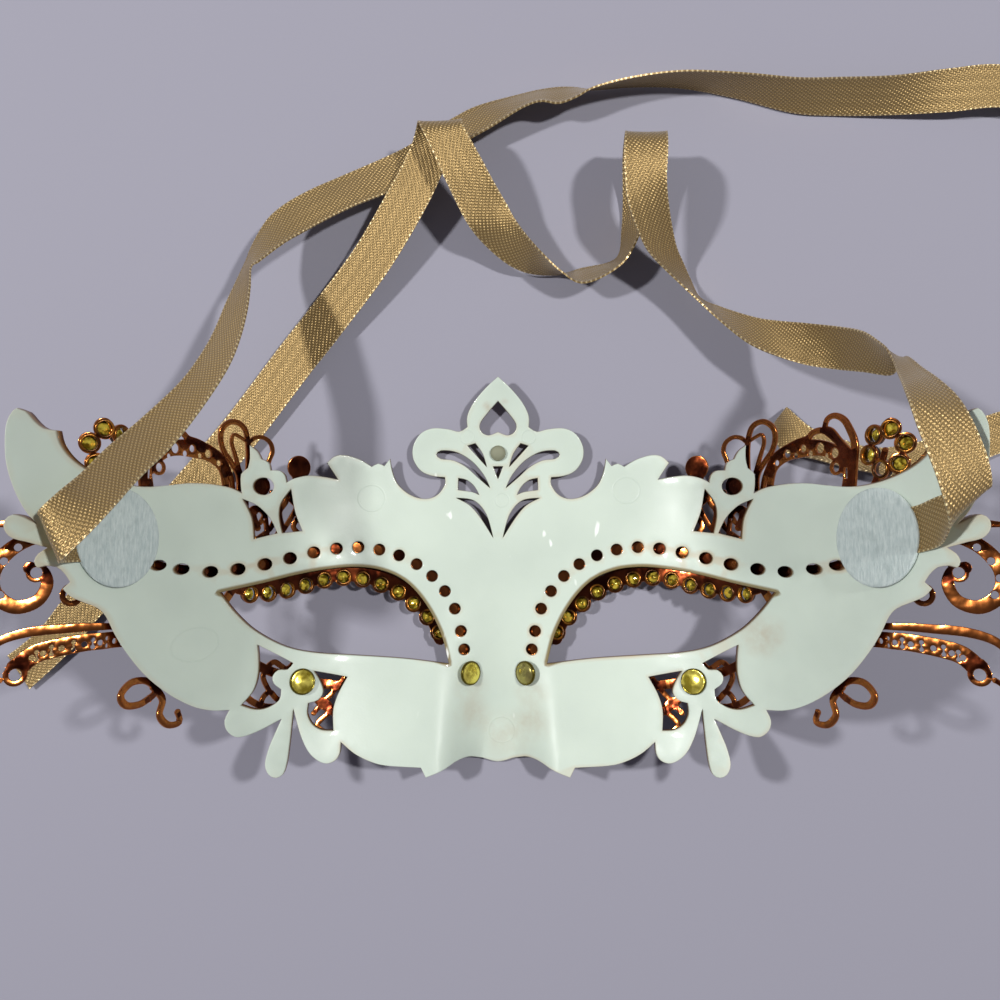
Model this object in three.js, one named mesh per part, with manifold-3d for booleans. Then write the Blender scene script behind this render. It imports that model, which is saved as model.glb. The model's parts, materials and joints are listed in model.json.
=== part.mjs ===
// A half mask for a masquerade: a white plastic shell with a sheet of cut metal filigree on each
// half of its front, gold glass stones, five rivets, two stick-on pads and two satin ribbons.
// It lies face down. Millimetres, +Z up, the crown towards +Y, the origin under the middle of the mask.
// Sizes down the face are drawn from the top of the brow, and the whole is moved to the middle at the end.
import * as THREE from 'three';
import { mergeVertices } from 'three/addons/utils/BufferGeometryUtils.js';
import Module from 'manifold-3d';

const wasm = await Module();
wasm.setup();

// The shell's form
const shellRest = 2.55; // height of its inner face at the brow
const plasticThickness = 1.6;
const templeStart = 72; // from here out the temples are flat and slope away
const templeRise = 36;
const templePower = 3.5;
const templeSlope = (templePower * templeRise) / templeStart;
const faceLean = 0.08;
const foreheadFrom = -2;
const foreheadBend = 0.0055;
const cheekFrom = -25;
const cheekBend = 0.0025;
const noseTop = -2;
const noseBottom = -64;
const noseDepth = 11.4;
const noseHalfWidth = 15;
const nosePower = 2.4;

// The metal sheets in front of it
const gap = 0.3; // air between pieces that touch
const metalThickness = 0.7;
const creaseAt = 79; // past this line the sheet bends away from the temple
const flareSlope = 0.6;
const stripWidth = 1.5;

// Small pieces
const browHoleRadius = 1.3;
const browHoleCount = 17;
const browHoleSides = 6;
const stoneRadius = 1.8;
const stoneFront = 2.9; // from the sheet's face to the stone's flat front
const stoneTable = 0.65; // the flat front's share of the radius
const stoneCrown = 0.9; // from the flat front back to the widest girdle
const cupRadius = 2.45;
const cupSides = 6;
const browStoneCount = 12;
const shankRadius = 1.2;
const shankHoleRadius = 1.55;
const shankHoleLength = 14;
const crownRivetHead = 1.9;
const noseRivetHead = 2.5;
const cheekRivetHead = 3.1;
const frontRivetHead = 2.3;
const rivetDiscRadius = 3.2; // the metal round each rivet
const rivetSides = 8;
const rivetSeat = 0.6; // the back head stands this far off the shell's true curve
const headHeight = 0.6;
const domeHeight = 0.4;
const headTaper = 0.85; // a head's face is this much of its widest radius
const padRadius = 10.1;
const padThickness = 0.8;
const padSides = 16;
const roundSides = 8; // of the shank holes, discs and rings
const smallHoleSides = 4;
const padX = 77;
const padY = -7.6;
const ribbonWidth = 10;
const ribbonThickness = 0.8;

// Heights of the shell and of the sheets: a rise across the face plus a bend down it, less the nose

// Rounded so that sums stay exact in single precision and the cells of a slab stay flat
function exact(height) {
  return Math.round(height * 1024) / 1024;
}

function riseAcross(x) {
  const reach = Math.abs(x);
  if (reach > templeStart) return templeRise + templeSlope * (reach - templeStart);
  return templeRise * (reach / templeStart) ** templePower;
}

// The upright measure of one millimetre across the sloping shell
function stretch(x) {
  const reach = Math.min(Math.abs(x), templeStart);
  return Math.hypot(1, templeSlope * (reach / templeStart) ** (templePower - 1));
}

function bendDown(y) {
  const forehead = foreheadBend * Math.max(0, y - foreheadFrom) ** 2;
  const cheek = cheekBend * Math.max(0, cheekFrom - y) ** 2;
  return exact(forehead + cheek - faceLean * y);
}

function noseDrop(x, y) {
  const down = THREE.MathUtils.clamp((noseTop - y) / (noseTop - noseBottom), 0, 1);
  const near = Math.max(0, 1 - (x / noseHalfWidth) ** 2);
  return noseDepth * down ** nosePower * near ** 2;
}

// The tip of the nose is flat, as thick as the rest, where it would reach below the table
function shellTop(x, y) {
  const height = exact(shellRest + riseAcross(x));
  return Math.max(plasticThickness, height + bendDown(y) - noseDrop(x, y));
}

function shellBottom(x, y) {
  const height = exact(shellRest + riseAcross(x) - plasticThickness * stretch(x));
  return Math.max(0, height + bendDown(y) - noseDrop(x, y));
}

// The metal follows the shell's front and bends away from it past the crease
function metalTop(x, y) {
  const near = Math.min(Math.abs(x), creaseAt);
  const flare = flareSlope * (Math.abs(x) - near);
  const depth = (plasticThickness + gap) * stretch(near);
  return exact(shellRest + riseAcross(near) - depth + flare) + bendDown(y) - noseDrop(x, y);
}

function metalBottom(x, y) {
  const tall = Math.abs(x) > creaseAt ? Math.hypot(1, flareSlope) : stretch(x);
  return metalTop(x, y) - exact(metalThickness * tall);
}

// A surface's upward normal at a point
function normalOf(height, x, y) {
  const step = 0.4;
  const alongX = (height(x + step, y) - height(x - step, y)) / (2 * step);
  const alongY = (height(x, y + step) - height(x, y - step)) / (2 * step);
  return new THREE.Vector3(-alongX, -alongY, 1).normalize();
}

// Solids

function toSolid(geometry) {
  const bare = geometry.clone();
  for (const name of Object.keys(bare.attributes)) {
    if (name !== 'position') bare.deleteAttribute(name);
  }
  const merged = mergeVertices(bare, 1e-4);
  return new wasm.Manifold(new wasm.Mesh({
    numProp: 3,
    vertProperties: new Float32Array(merged.attributes.position.array),
    triVerts: new Uint32Array(merged.index.array),
  }));
}

function toGeometry(solid) {
  const mesh = solid.getMesh();
  const geometry = new THREE.BufferGeometry();
  geometry.setAttribute('position', new THREE.BufferAttribute(new Float32Array(mesh.vertProperties), 3));
  geometry.setIndex(new THREE.BufferAttribute(new Uint32Array(mesh.triVerts), 1));
  geometry.computeVertexNormals();
  return geometry;
}

// The same shape on the other side of the middle
function mirrored(geometry) {
  const other = geometry.clone();
  other.scale(-1, 1, 1);
  const order = other.index.array;
  for (let i = 0; i < order.length; i += 3) {
    [order[i], order[i + 1]] = [order[i + 1], order[i]];
  }
  other.computeVertexNormals();
  return other;
}

// A curved slab between two heights, with a mesh line at every x and y given
function curvedSlab(xLines, yLines, top, bottom) {
  const columns = xLines.length - 1;
  const rows = yLines.length - 1;
  const slab = new THREE.BoxGeometry(1, 1, 1, columns, rows, 1);
  const place = slab.attributes.position;
  for (let i = 0; i < place.count; i += 1) {
    const x = xLines[Math.round((place.getX(i) + 0.5) * columns)];
    const y = yLines[Math.round((place.getY(i) + 0.5) * rows)];
    place.setXYZ(i, x, y, place.getZ(i) > 0 ? top(x, y) : bottom(x, y));
  }
  return toSolid(slab);
}

const prismFloor = -10;
const prismHeight = 130;

function prism(points) {
  const block = new THREE.ExtrudeGeometry(new THREE.Shape(points), {
    depth: prismHeight,
    bevelEnabled: false,
  });
  block.translate(0, 0, prismFloor);
  return toSolid(block);
}

function joined(solids) {
  return solids.reduce((sum, solid) => sum.add(solid));
}

// Outlines

function toLine(points) {
  return points.map(([x, y]) => new THREE.Vector2(x, y));
}

// The second half of an outline whose first half runs down the +X side of the middle
function withOtherHalf(half) {
  const other = half.slice(1, -1).reverse().map((point) => new THREE.Vector2(-point.x, point.y));
  return [...half, ...other];
}

function otherSide(points) {
  return points.map((point) => new THREE.Vector2(-point.x, point.y)).reverse();
}

function disc(x, y, radius, sides) {
  const points = [];
  for (let i = 0; i < sides; i += 1) {
    const turn = (2 * Math.PI * (i + 0.5)) / sides;
    points.push(new THREE.Vector2(x + radius * Math.cos(turn), y + radius * Math.sin(turn)));
  }
  return points;
}

// Outline of the plastic shell, from the crown's tip down the +X side to the chin of the nose

const crownEdge = [
  [0, 30.2], [3, 27.5], [6, 24], [7.6, 20.7], [7.6, 18],
  [9.6, 16.9], [12.3, 17.5], [16.2, 17.7], [19.2, 16.3], [21, 13.2], [20.9, 9.9], [19, 7.1],
  [16.2, 5.9], [13.2, 5.6],
  [13.2, 3.8], [15, 1.3], [17.8, 0.3], [21.3, 1.1], [24.5, 3.6], [26, 6.8], [26.6, 10.2],
];
const browLeafEdge = [
  [28, 8.4], [29.5, 9], [31, 8.2], [34, 10], [37.5, 11], [39.8, 10.6], [41.5, 9],
  [39, 5], [42, 5.6], [45.5, 5.9], [48.5, 5.2], [50.2, 4.2],
];
const finialEdge = [
  [50.5, 5.8], [51.5, 6.9], [53.4, 7], [53.8, 8.8], [55.2, 9.6],
  [56, 11.4], [57.4, 12.7], [57.4, 9.6], [57.8, 7.4], [59, 6], [59.1, 3.4], [58.9, 1.6],
];
const templeEdge = [
  [60.9, 2.8], [64.4, 3.6], [67.6, 3.7], [70.5, 3.2], [73.3, 2.8], [75.8, 3.1], [78.5, 4.3],
  [81, 6.2], [82.7, 8.4], [83.7, 10.9], [84, 13.3],
];
const wingEdge = [
  [85.3, 13.5], [86.2, 14.6], [87.1, 16.4], [88, 16.9], [88.8, 15.4], [89.3, 12.5], [89.3, 7],
  [88.5, 2], [87.3, -2], [86.1, -4.4],
];
const leafEdge = [
  [87.3, -3.2], [88.5, -2.6], [89.3, -3.6], [89.3, -5.4], [88.5, -7], [87, -7.8], [84.9, -9],
  [85.8, -10], [86.2, -11.4], [85.8, -12.7], [85, -12.4], [83.8, -12.8], [82.9, -14.2],
  [82.3, -15.8], [83.1, -16.9],
];
const cheekEdge = [
  [82.2, -18.6], [80.7, -20], [79.1, -21.4], [78.1, -23.2], [76.9, -27.2], [75.4, -31.2],
  [73.3, -35.7], [71, -39.4], [68.5, -42.5], [65.6, -45.1], [62.8, -46.5], [60.1, -47],
];
const petalEdge = [
  [60.8, -49], [60.4, -51.2], [58.9, -53], [57, -53.3], [54, -52.5], [50.2, -50.8],
  [51.4, -53.8], [52.5, -57], [53, -60.2], [52.2, -62.5], [50.7, -63.5], [49.3, -63], [48.6, -60.5],
  [48.2, -55.8], [47.8, -48.9],
  [47.2, -51.2], [46, -55.2], [44.3, -58.8], [42.2, -61], [40.1, -61.9], [38.2, -61.3], [37.3, -59.7],
  [37.2, -57.4],
];
const chinEdge = [
  [34, -60.2], [30, -62.3], [26, -63.3], [18.4, -63.9], [17.2, -66.1],
  [13, -64.6], [10, -63.3], [7.2, -63], [4, -64], [0, -65],
];
const shellEdge = [
  ...crownEdge, ...browLeafEdge, ...finialEdge, ...templeEdge, ...wingEdge, ...leafEdge,
  ...cheekEdge, ...petalEdge, ...chinEdge,
];

// Openings of the shell on the +X side

const eyeEdge = [
  [62.4, -20.8], [55, -19.4], [48, -17.8], [42, -16.8], [35, -16.3], [28.5, -17.2],
  [22.7, -20], [17.8, -25.4], [14, -32.6], [12, -40], [21.5, -38.7], [35, -37.4],
  [43.7, -36.3], [50, -34.3], [55.8, -30.2], [59.6, -25.6],
];
const crownCuts = [
  [[7.5, 13.4], [5.6, 14], [3.8, 11.4], [2.8, 8.2]],
  [[15.2, 11.2], [14.1, 12.2], [10.3, 11.8], [6.4, 9.5], [3.5, 6.1], [2, 3], [5, 5.6],
    [7.9, 8.2], [11, 9.8], [14.1, 10.2]],
  [[9.8, 5.4], [9.9, 2.5], [6.4, 2], [4.7, 1.3], [5.9, 3.4], [7.7, 4.9]],
  [[10.3, 0.5], [7, -1.3], [4.3, -4.4], [1.2, -9.3], [2.9, -3.6], [5.9, -0.2]],
];
const heartHalf = [[0, 24.3], [2.4, 21.6], [4.4, 18.8], [4.1, 16.9], [2.4, 16], [0, 16.8]];
const crownTriangle = [[1.2, 8.3], [0, 5.2], [-1.2, 8.3]];
const templeCuts = [
  [[58.7, 0.2], [57, -4.2], [56.5, -9], [52, -7.8], [53.5, -4.3], [55.9, -1.4]],
  [[49.3, 2.6], [51.3, -0.6], [51.7, -3.8], [51, -7.8], [46.8, -7.4], [48.4, -2.8]],
];
const cheekCuts = [
  [[55.4, -33.4], [48.2, -38.4], [49.3, -39.7], [51.2, -39.6], [52.3, -40.9],
    [52, -42.6], [50.5, -44.1], [50.8, -46.4], [53, -47.8], [55.4, -47.8],
    [58, -46.4], [55.9, -43.6], [55.1, -40], [55.1, -36.6]],
  [[43.7, -40.6], [36.2, -42.5], [38.2, -46.3], [39.2, -50], [39, -54.6],
    [41.6, -54.2], [43.6, -52.8], [44.8, -50.4], [44.7, -47.9], [42.6, -47.4],
    [41.5, -45.6], [42.3, -43]],
];
const finialHole = { x: 54.8, y: 3.2, radius: 2 };
const browHoleLine = [
  [71.7, -13.8], [64, -16], [54.3, -15], [44.2, -12.6], [34.1, -11.5], [24.3, -13.6],
  [16.2, -18.7], [10.6, -26.7], [8.3, -36.7],
];

// Rivet places: crown, nose and cheek
const crownRivetPlace = [0, 11.6];
const noseRivetPlace = [7.2, -42.4];
const cheekRivetPlace = [46.2, -42.8];

const xLinesHalf = [2.5, 8, 15, 26, 37, 47, 56, 64, 72, 79];
const yLines = [-67, -60, -46, -25, -2, 12, 34];

function mirroredLines(half, last) {
  return [-last, ...half.map((x) => -x).reverse(), 0, ...half, last];
}

function shankHole([x, y]) {
  const axis = normalOf(shellTop, x, y);
  const hole = new THREE.CylinderGeometry(shankHoleRadius, shankHoleRadius, shankHoleLength, roundSides);
  hole.applyQuaternion(new THREE.Quaternion().setFromUnitVectors(new THREE.Vector3(0, 1, 0), axis));
  hole.translate(x, y, shellTop(x, y));
  return toSolid(hole);
}

function maskBase() {
  const edge = withOtherHalf(toLine(shellEdge));
  const slab = curvedSlab(mirroredLines(xLinesHalf, 95), yLines, shellTop, shellBottom);
  const holes = [
    prism(withOtherHalf(toLine(heartHalf))),
    prism(toLine(crownTriangle)),
    shankHole(crownRivetPlace),
  ];
  const oneSide = [
    ...[eyeEdge, ...crownCuts, ...templeCuts, ...cheekCuts].map(toLine),
    disc(finialHole.x, finialHole.y, finialHole.radius, roundSides),
  ];
  const row = new THREE.SplineCurve(toLine(browHoleLine));
  for (let i = 0; i < browHoleCount; i += 1) {
    const spot = row.getPoint(i / (browHoleCount - 1));
    oneSide.push(disc(spot.x, spot.y, browHoleRadius, browHoleSides));
  }
  for (const line of oneSide) {
    holes.push(prism(line), prism(otherSide(line)));
  }
  for (const [x, y] of [noseRivetPlace, cheekRivetPlace]) {
    holes.push(shankHole([x, y]), shankHole([-x, y]));
  }
  return toGeometry(prism(edge).intersect(slab).subtract(joined(holes)));
}

// The metal sheet is drawn flat, as it is cut, and wrapped onto the shell afterwards.
// Its first coordinate runs along the sheet from the middle of the mask.

const wrapStep = 0.5;
const wrapTable = [0];
for (let x = wrapStep / 2; x < 125; x += wrapStep) {
  const reach = Math.min(x, templeStart);
  const slope = x > creaseAt ? flareSlope : templeSlope * (reach / templeStart) ** (templePower - 1);
  wrapTable.push(wrapTable[wrapTable.length - 1] + wrapStep * Math.hypot(1, slope));
}

function wrappedX(along) {
  const after = wrapTable.findIndex((length) => length > along);
  const before = wrapTable[after - 1];
  return wrapStep * (after - 1 + (along - before) / (wrapTable[after] - before));
}

function wrapped(points) {
  return points.map((point) => new THREE.Vector2(wrappedX(point.x), point.y));
}

// A strip of metal along a smooth line, with its width at the start, the middle and the end
function strip(points, widths) {
  const steps = points.length - 1;
  const curve = new THREE.SplineCurve(toLine(points));
  const left = [];
  const right = [];
  for (let i = 0; i <= steps; i += 1) {
    const t = i / steps;
    const spot = curve.getPoint(t);
    const ahead = curve.getTangent(t);
    const width = t < 0.5
      ? THREE.MathUtils.lerp(widths[0], widths[1], 2 * t)
      : THREE.MathUtils.lerp(widths[1], widths[2], 2 * t - 1);
    left.push(new THREE.Vector2(spot.x - (ahead.y * width) / 2, spot.y + (ahead.x * width) / 2));
    right.push(new THREE.Vector2(spot.x + (ahead.y * width) / 2, spot.y - (ahead.x * width) / 2));
  }
  return [...left, ...right.reverse()];
}

const even = [stripWidth, stripWidth, stripWidth];

// Strips of one half: [points, widths]
const metalStrips = [
  // the spine, behind the row of round holes
  [[[7.2, -42.4], [9.3, -33], [13.2, -23.5], [21, -15.8], [35, -11.6], [50, -13.6], [66, -15.6],
    [80, -13.5], [92, -8], [104, -6.2]], [2.2, 2.6, 2.6]],
  // the brow band that carries the stones
  [[[14.2, -34], [17.3, -27.6], [23.5, -22], [31, -18.8], [39, -17.6], [48, -19.2], [57, -20.8],
    [65, -20.2], [72, -15.5]], [3, 4.4, 2.4]],
  // round the eye's outer corner, along the cheek and back to the nose
  [[[66, -20], [69.5, -26], [66.5, -33], [58, -39], [47.6, -42.8], [37, -45], [27, -46.2],
    [17, -45.6], [7.2, -42.4]], [2, 2.2, 2]],
  // scrolls on the brow
  [[[24, -14], [21.5, -8], [24.5, -2.5], [30, -3.5], [29.5, -8], [26.3, -7.3]], even],
  [[[42, -12], [36, -7.5], [34.5, -1], [39, 3], [43.5, -0.5], [40.5, -4.5]], even],
  [[[52, -14], [47.5, -8], [49.5, -3], [48.5, 2], [49.6, 6]], [1.5, 1.8, 3]],
  [[[66, -15], [58, -11.5], [54, -6.5], [57, -1.5], [61, -3], [60, -6.5]], even],
  // the ring loop and the big curl above the finial
  [[[58.6, -3], [58.2, 4.5], [56.6, 9.2], [57.4, 13.6], [60.6, 15], [61.8, 12], [60.2, 8.5],
    [61, -4]], [1, 1.1, 1]],
  [[[62, -14], [63.6, 0], [62.4, 10], [63.6, 16], [67, 18.2], [70.2, 15.6], [69.8, 10.5], [67, 5],
    [66.5, 0]], [1.2, 1.3, 1.2]],
  // the arch, its inner rim and the teardrop on its far end
  [[[69, -15], [67, -4], [67, 3], [69.8, 9], [74.5, 13.2], [80.5, 15], [86, 14.4]], [1.6, 1.3, 1.2]],
  [[[68, 0], [72, 4.5], [76.2, 8.5], [81.5, 10.4], [87, 9], [90.5, 6.5]], [1, 1, 1.2]],
  [[[88, -9], [91.3, 1], [92.4, 8], [91.8, 13.6], [89.3, 17.6], [86.2, 18.2], [84.6, 15.2]],
    [3, 1.8, 1.1]],
  [[[84.6, 15.2], [88, 13], [91.4, 9.4]], [1, 1, 1]],
  // the stalk of the stone cluster
  [[[92, -8], [94.6, -1], [97.6, 4], [99.8, 10]], [1.4, 1.6, 1.4]],
  // the band that comes out under the leaf and turns into the C-scroll
  [[[102, -6.2], [110, -6.4], [116.6, -8.6], [120.6, -13], [120.6, -17.6], [117, -20.6], [113, -19.8],
    [111.2, -16.6], [112.2, -13.8], [114.4, -13.2]], [2.4, 3, 2.2]],
  [[[112, -5.6], [117, -4.6], [122.4, -4.8]], [1.8, 1.6, 0.8]],
  // the temple, down to the plume and the bottom curls
  [[[84, -12.5], [80, -19], [83, -27], [91, -30.5], [99, -29.2], [106, -29.2], [112, -30.4],
    [116.6, -33]], [1.8, 2.6, 3.4]],
  [[[96, -28.6], [101, -26], [107.5, -25.5], [114, -26.3], [119.6, -28.6], [123, -32.6], [121.6, -36],
    [118.8, -34.6]], [1.1, 1.3, 1]],
  [[[92, -8], [97, -13], [105.2, -18]], [1.6, 1.4, 1.2]],
  [[[88, -29.5], [85, -35], [82.4, -39]], [1.6, 1.6, 1.4]],
  [[[82, -37.5], [88, -37.6], [94, -39.6], [96.6, -42.2], [94, -43.3], [88.5, -41], [83, -39.6]],
    [1.2, 1.2, 1.2]],
  [[[83, -38.6], [82.6, -43.5], [84.6, -47.4], [82.4, -49.6], [79.6, -48]], [1.4, 1.2, 1]],
  // scrolls on the cheek
  [[[47.6, -43], [42, -49.5], [34, -53], [27.5, -51], [29.5, -47.6], [33, -49]], even],
  [[[47.6, -43], [53, -48], [60, -46.5], [65.5, -40], [62.5, -35.5], [59.5, -38.5]], even],
];
const petalDisc = { along: 49.4, y: 7.8, radius: 2.9 };
const smallRing = { along: 106.6, y: -18.8, radius: 2.3, hole: 1.1 };
const plumeRing = { along: 116.8, y: -34.2, radius: 2.1, hole: 1.1 };

// Lobed rings that join the two rims of the arch
const archRingLine = [[71.6, 6.6], [76, 10.8], [81.2, 12.6], [87, 11.6]];
const archRingCount = 4;
const archRingRadius = 2.2;
const archRingHole = 1.1;

// Holes along the plume and along the side band
const plumeHoleLine = [[100.5, -29.3], [107, -29.4], [112.6, -30.8], [115.6, -32]];
const plumeHoleCount = 5;
const plumeHoleRadius = 0.7;
const bandHoleLine = [[113.2, -7.2], [117, -9.6], [119.6, -12.6]];
const bandHoleRadius = 0.8;

// Stones: a row along the brow, and a ring of six cups beside the wing, of which one is empty

const browStoneLine = [
  [14.5, -32.6], [17.6, -28.5], [21.4, -25], [25.1, -22.3], [29.6, -20.4], [34, -19.2], [38.9, -18.8],
  [43.2, -19.4], [47.7, -20.5], [52, -21.3], [56.8, -21.8], [61.5, -21.8],
];
const cluster = { along: 99.8, y: 10.4, radius: 4.2, firstTurn: 15, cups: 6, emptyCup: 4 };

function browStonePlaces() {
  const row = new THREE.SplineCurve(toLine(browStoneLine));
  const places = [];
  for (let i = 0; i < browStoneCount; i += 1) {
    const spot = row.getPointAt(i / (browStoneCount - 1));
    places.push([spot.x, spot.y]);
  }
  return places;
}

function clusterPlaces() {
  const places = [];
  for (let i = 0; i < cluster.cups; i += 1) {
    const turn = THREE.MathUtils.degToRad(cluster.firstTurn + (360 * i) / cluster.cups);
    places.push([
      cluster.along + cluster.radius * Math.cos(turn),
      cluster.y + cluster.radius * Math.sin(turn),
    ]);
  }
  return places;
}

// A round body that stands square to the sheet at a place on it
function onSheet(geometry, along, y) {
  const x = wrappedX(along);
  const axis = normalOf(metalTop, x, y);
  geometry.applyQuaternion(
    new THREE.Quaternion().setFromUnitVectors(new THREE.Vector3(0, 1, 0), axis),
  );
  geometry.translate(x, y, metalTop(x, y));
  return geometry;
}

// Where a rivet that starts square to the shell passes the metal sheet
function inFrontOf([x, y]) {
  const axis = normalOf(shellTop, x, y);
  const depth = plasticThickness + gap + metalThickness / 2;
  return [x - depth * axis.x, y - depth * axis.y];
}

function filigree() {
  const slab = curvedSlab([0, ...xLinesHalf, 84, 112], yLines, metalTop, metalBottom);
  const flat = metalStrips.map(([points, widths]) => prism(wrapped(strip(points, widths))));
  const cups = [...browStonePlaces(), ...clusterPlaces()];
  for (const place of [noseRivetPlace, cheekRivetPlace]) {
    flat.push(prism(disc(...inFrontOf(place), rivetDiscRadius, roundSides)));
  }
  const rounds = [
    disc(petalDisc.along, petalDisc.y, petalDisc.radius, roundSides),
    disc(smallRing.along, smallRing.y, smallRing.radius, roundSides),
    disc(plumeRing.along, plumeRing.y, plumeRing.radius, roundSides),
  ];
  const arch = new THREE.SplineCurve(toLine(archRingLine));
  const archRings = [];
  for (let i = 0; i < archRingCount; i += 1) archRings.push(arch.getPoint(i / (archRingCount - 1)));
  for (const spot of archRings) rounds.push(disc(spot.x, spot.y, archRingRadius, cupSides));
  for (const [along, y] of cups) rounds.push(disc(along, y, cupRadius, cupSides));
  for (const round of rounds) flat.push(prism(wrapped(round)));
  const holes = [];
  for (const spot of archRings) {
    holes.push(prism(wrapped(disc(spot.x, spot.y, archRingHole, smallHoleSides))));
  }
  const plume = new THREE.SplineCurve(toLine(plumeHoleLine));
  for (let i = 0; i < plumeHoleCount; i += 1) {
    const spot = plume.getPoint(i / (plumeHoleCount - 1));
    holes.push(prism(wrapped(disc(spot.x, spot.y, plumeHoleRadius, smallHoleSides))));
  }
  for (const [along, y] of bandHoleLine) {
    holes.push(prism(wrapped(disc(along, y, bandHoleRadius, smallHoleSides))));
  }
  for (const ring of [smallRing, plumeRing]) {
    holes.push(prism(wrapped(disc(ring.along, ring.y, ring.hole, cupSides))));
  }
  holes.push(shankHole(noseRivetPlace), shankHole(cheekRivetPlace));
  return toGeometry(joined(flat).intersect(slab).subtract(joined(holes)));
}

// A glass stone: a pointed back towards the wearer, a girdle and a flat table in front
function stone(along, y) {
  const body = new THREE.LatheGeometry([
    new THREE.Vector2(0, -stoneFront),
    new THREE.Vector2(stoneRadius * stoneTable, -stoneFront),
    new THREE.Vector2(stoneRadius, -stoneFront + stoneCrown),
    new THREE.Vector2(0, -metalThickness - gap),
  ], cupSides);
  return toGeometry(toSolid(onSheet(body, along, y)));
}

// A rivet: a low dome on the wearer's side, a shank through the layers and a flat head in front
function rivet([x, y], layers, backHead, frontHead) {
  const axis = normalOf(shellTop, x, y);
  const front = -layers - gap;
  const body = new THREE.LatheGeometry([
    new THREE.Vector2(0, front - headHeight),
    new THREE.Vector2(frontHead * headTaper, front - headHeight),
    new THREE.Vector2(frontHead, front),
    new THREE.Vector2(shankRadius, front),
    new THREE.Vector2(shankRadius, rivetSeat),
    new THREE.Vector2(backHead, rivetSeat),
    new THREE.Vector2(backHead * headTaper, rivetSeat + headHeight),
    new THREE.Vector2(0, rivetSeat + headHeight + domeHeight),
  ], rivetSides);
  body.applyQuaternion(new THREE.Quaternion().setFromUnitVectors(new THREE.Vector3(0, 1, 0), axis));
  body.translate(x, y, shellTop(x, y));
  return toGeometry(toSolid(body));
}

function pad() {
  const axis = normalOf(shellTop, padX, padY);
  const body = new THREE.CylinderGeometry(padRadius, padRadius, padThickness, padSides);
  body.translate(0, gap + padThickness / 2, 0);
  body.applyQuaternion(new THREE.Quaternion().setFromUnitVectors(new THREE.Vector3(0, 1, 0), axis));
  body.translate(padX, padY, shellTop(padX, padY));
  return toGeometry(toSolid(body));
}

// Ribbons: the two edges at places along the way, [x, y, z, x, y, z]

const ribbonLeftRoute = [
  [-82.9, -1.5, 60.5, -82.1, -11.9, 60.5], [-83.9, -1.5, 64.5, -81.1, -12, 64.5],
  [-83.8, -2.2, 67.5, -79.8, -11.3, 67.5], [-80.8, 1.5, 66, -74.4, -5.5, 66],
  [-79.4, 4.9, 59.8, -71.8, -1.1, 62.2], [-73.2, 16.6, 44.8, -65.5, 11.1, 48.2],
  [-67.4, 25.6, 36.4, -60.7, 20.5, 41.6], [-64.7, 32.5, 30.6, -57.2, 29.1, 36.4],
  [-62, 44.7, 22, -55.4, 42, 29], [-59.3, 56.9, 13.8, -56, 53.2, 22.6],
  [-55.4, 67.2, 10, -50.2, 60.4, 15.2], [-38.8, 79.3, 4.4, -34.8, 71, 8.4],
  [-23.5, 86.7, 3, -20.3, 77.7, 5.8], [-10.7, 95, 1.7, -7.5, 87.2, 7.1], [5.5, 100.8, 1.3, 6.7, 94.9, 9.3],
  [14.9, 102.4, 1.7, 14.7, 95.6, 9.1], [32.4, 103, 0.6, 30.5, 101.1, 10.2],
  [58.6, 100.4, 0.6, 58, 102.4, 10.4], [74.1, 96.5, 0.6, 72.8, 101.8, 9],
  [84.8, 95.9, 0.6, 82.8, 102.4, 7.9], [111.6, 95.6, 3.7, 109.7, 104.8, 7.3],
  [123.7, 96.3, 4.6, 122.3, 106.1, 6.4], [140.7, 92.8, 5, 143.3, 102.4, 5],
  [153.5, 84.5, 3, 160.5, 91.5, 3], [160.5, 56.4, 2, 170.5, 55.6, 2], [145.8, 30.3, 1.3, 152.2, 22.7, 1.3],
  [124, 21.8, 1.2, 126, 12, 1.2], [113.7, 20.6, 1.2, 114.3, 10.6, 1.2], [90.9, 20.1, 1.2, 89.1, 10.3, 1.2],
  [74.6, 26, 1.2, 70, 17.2, 1.2],
];
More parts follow.
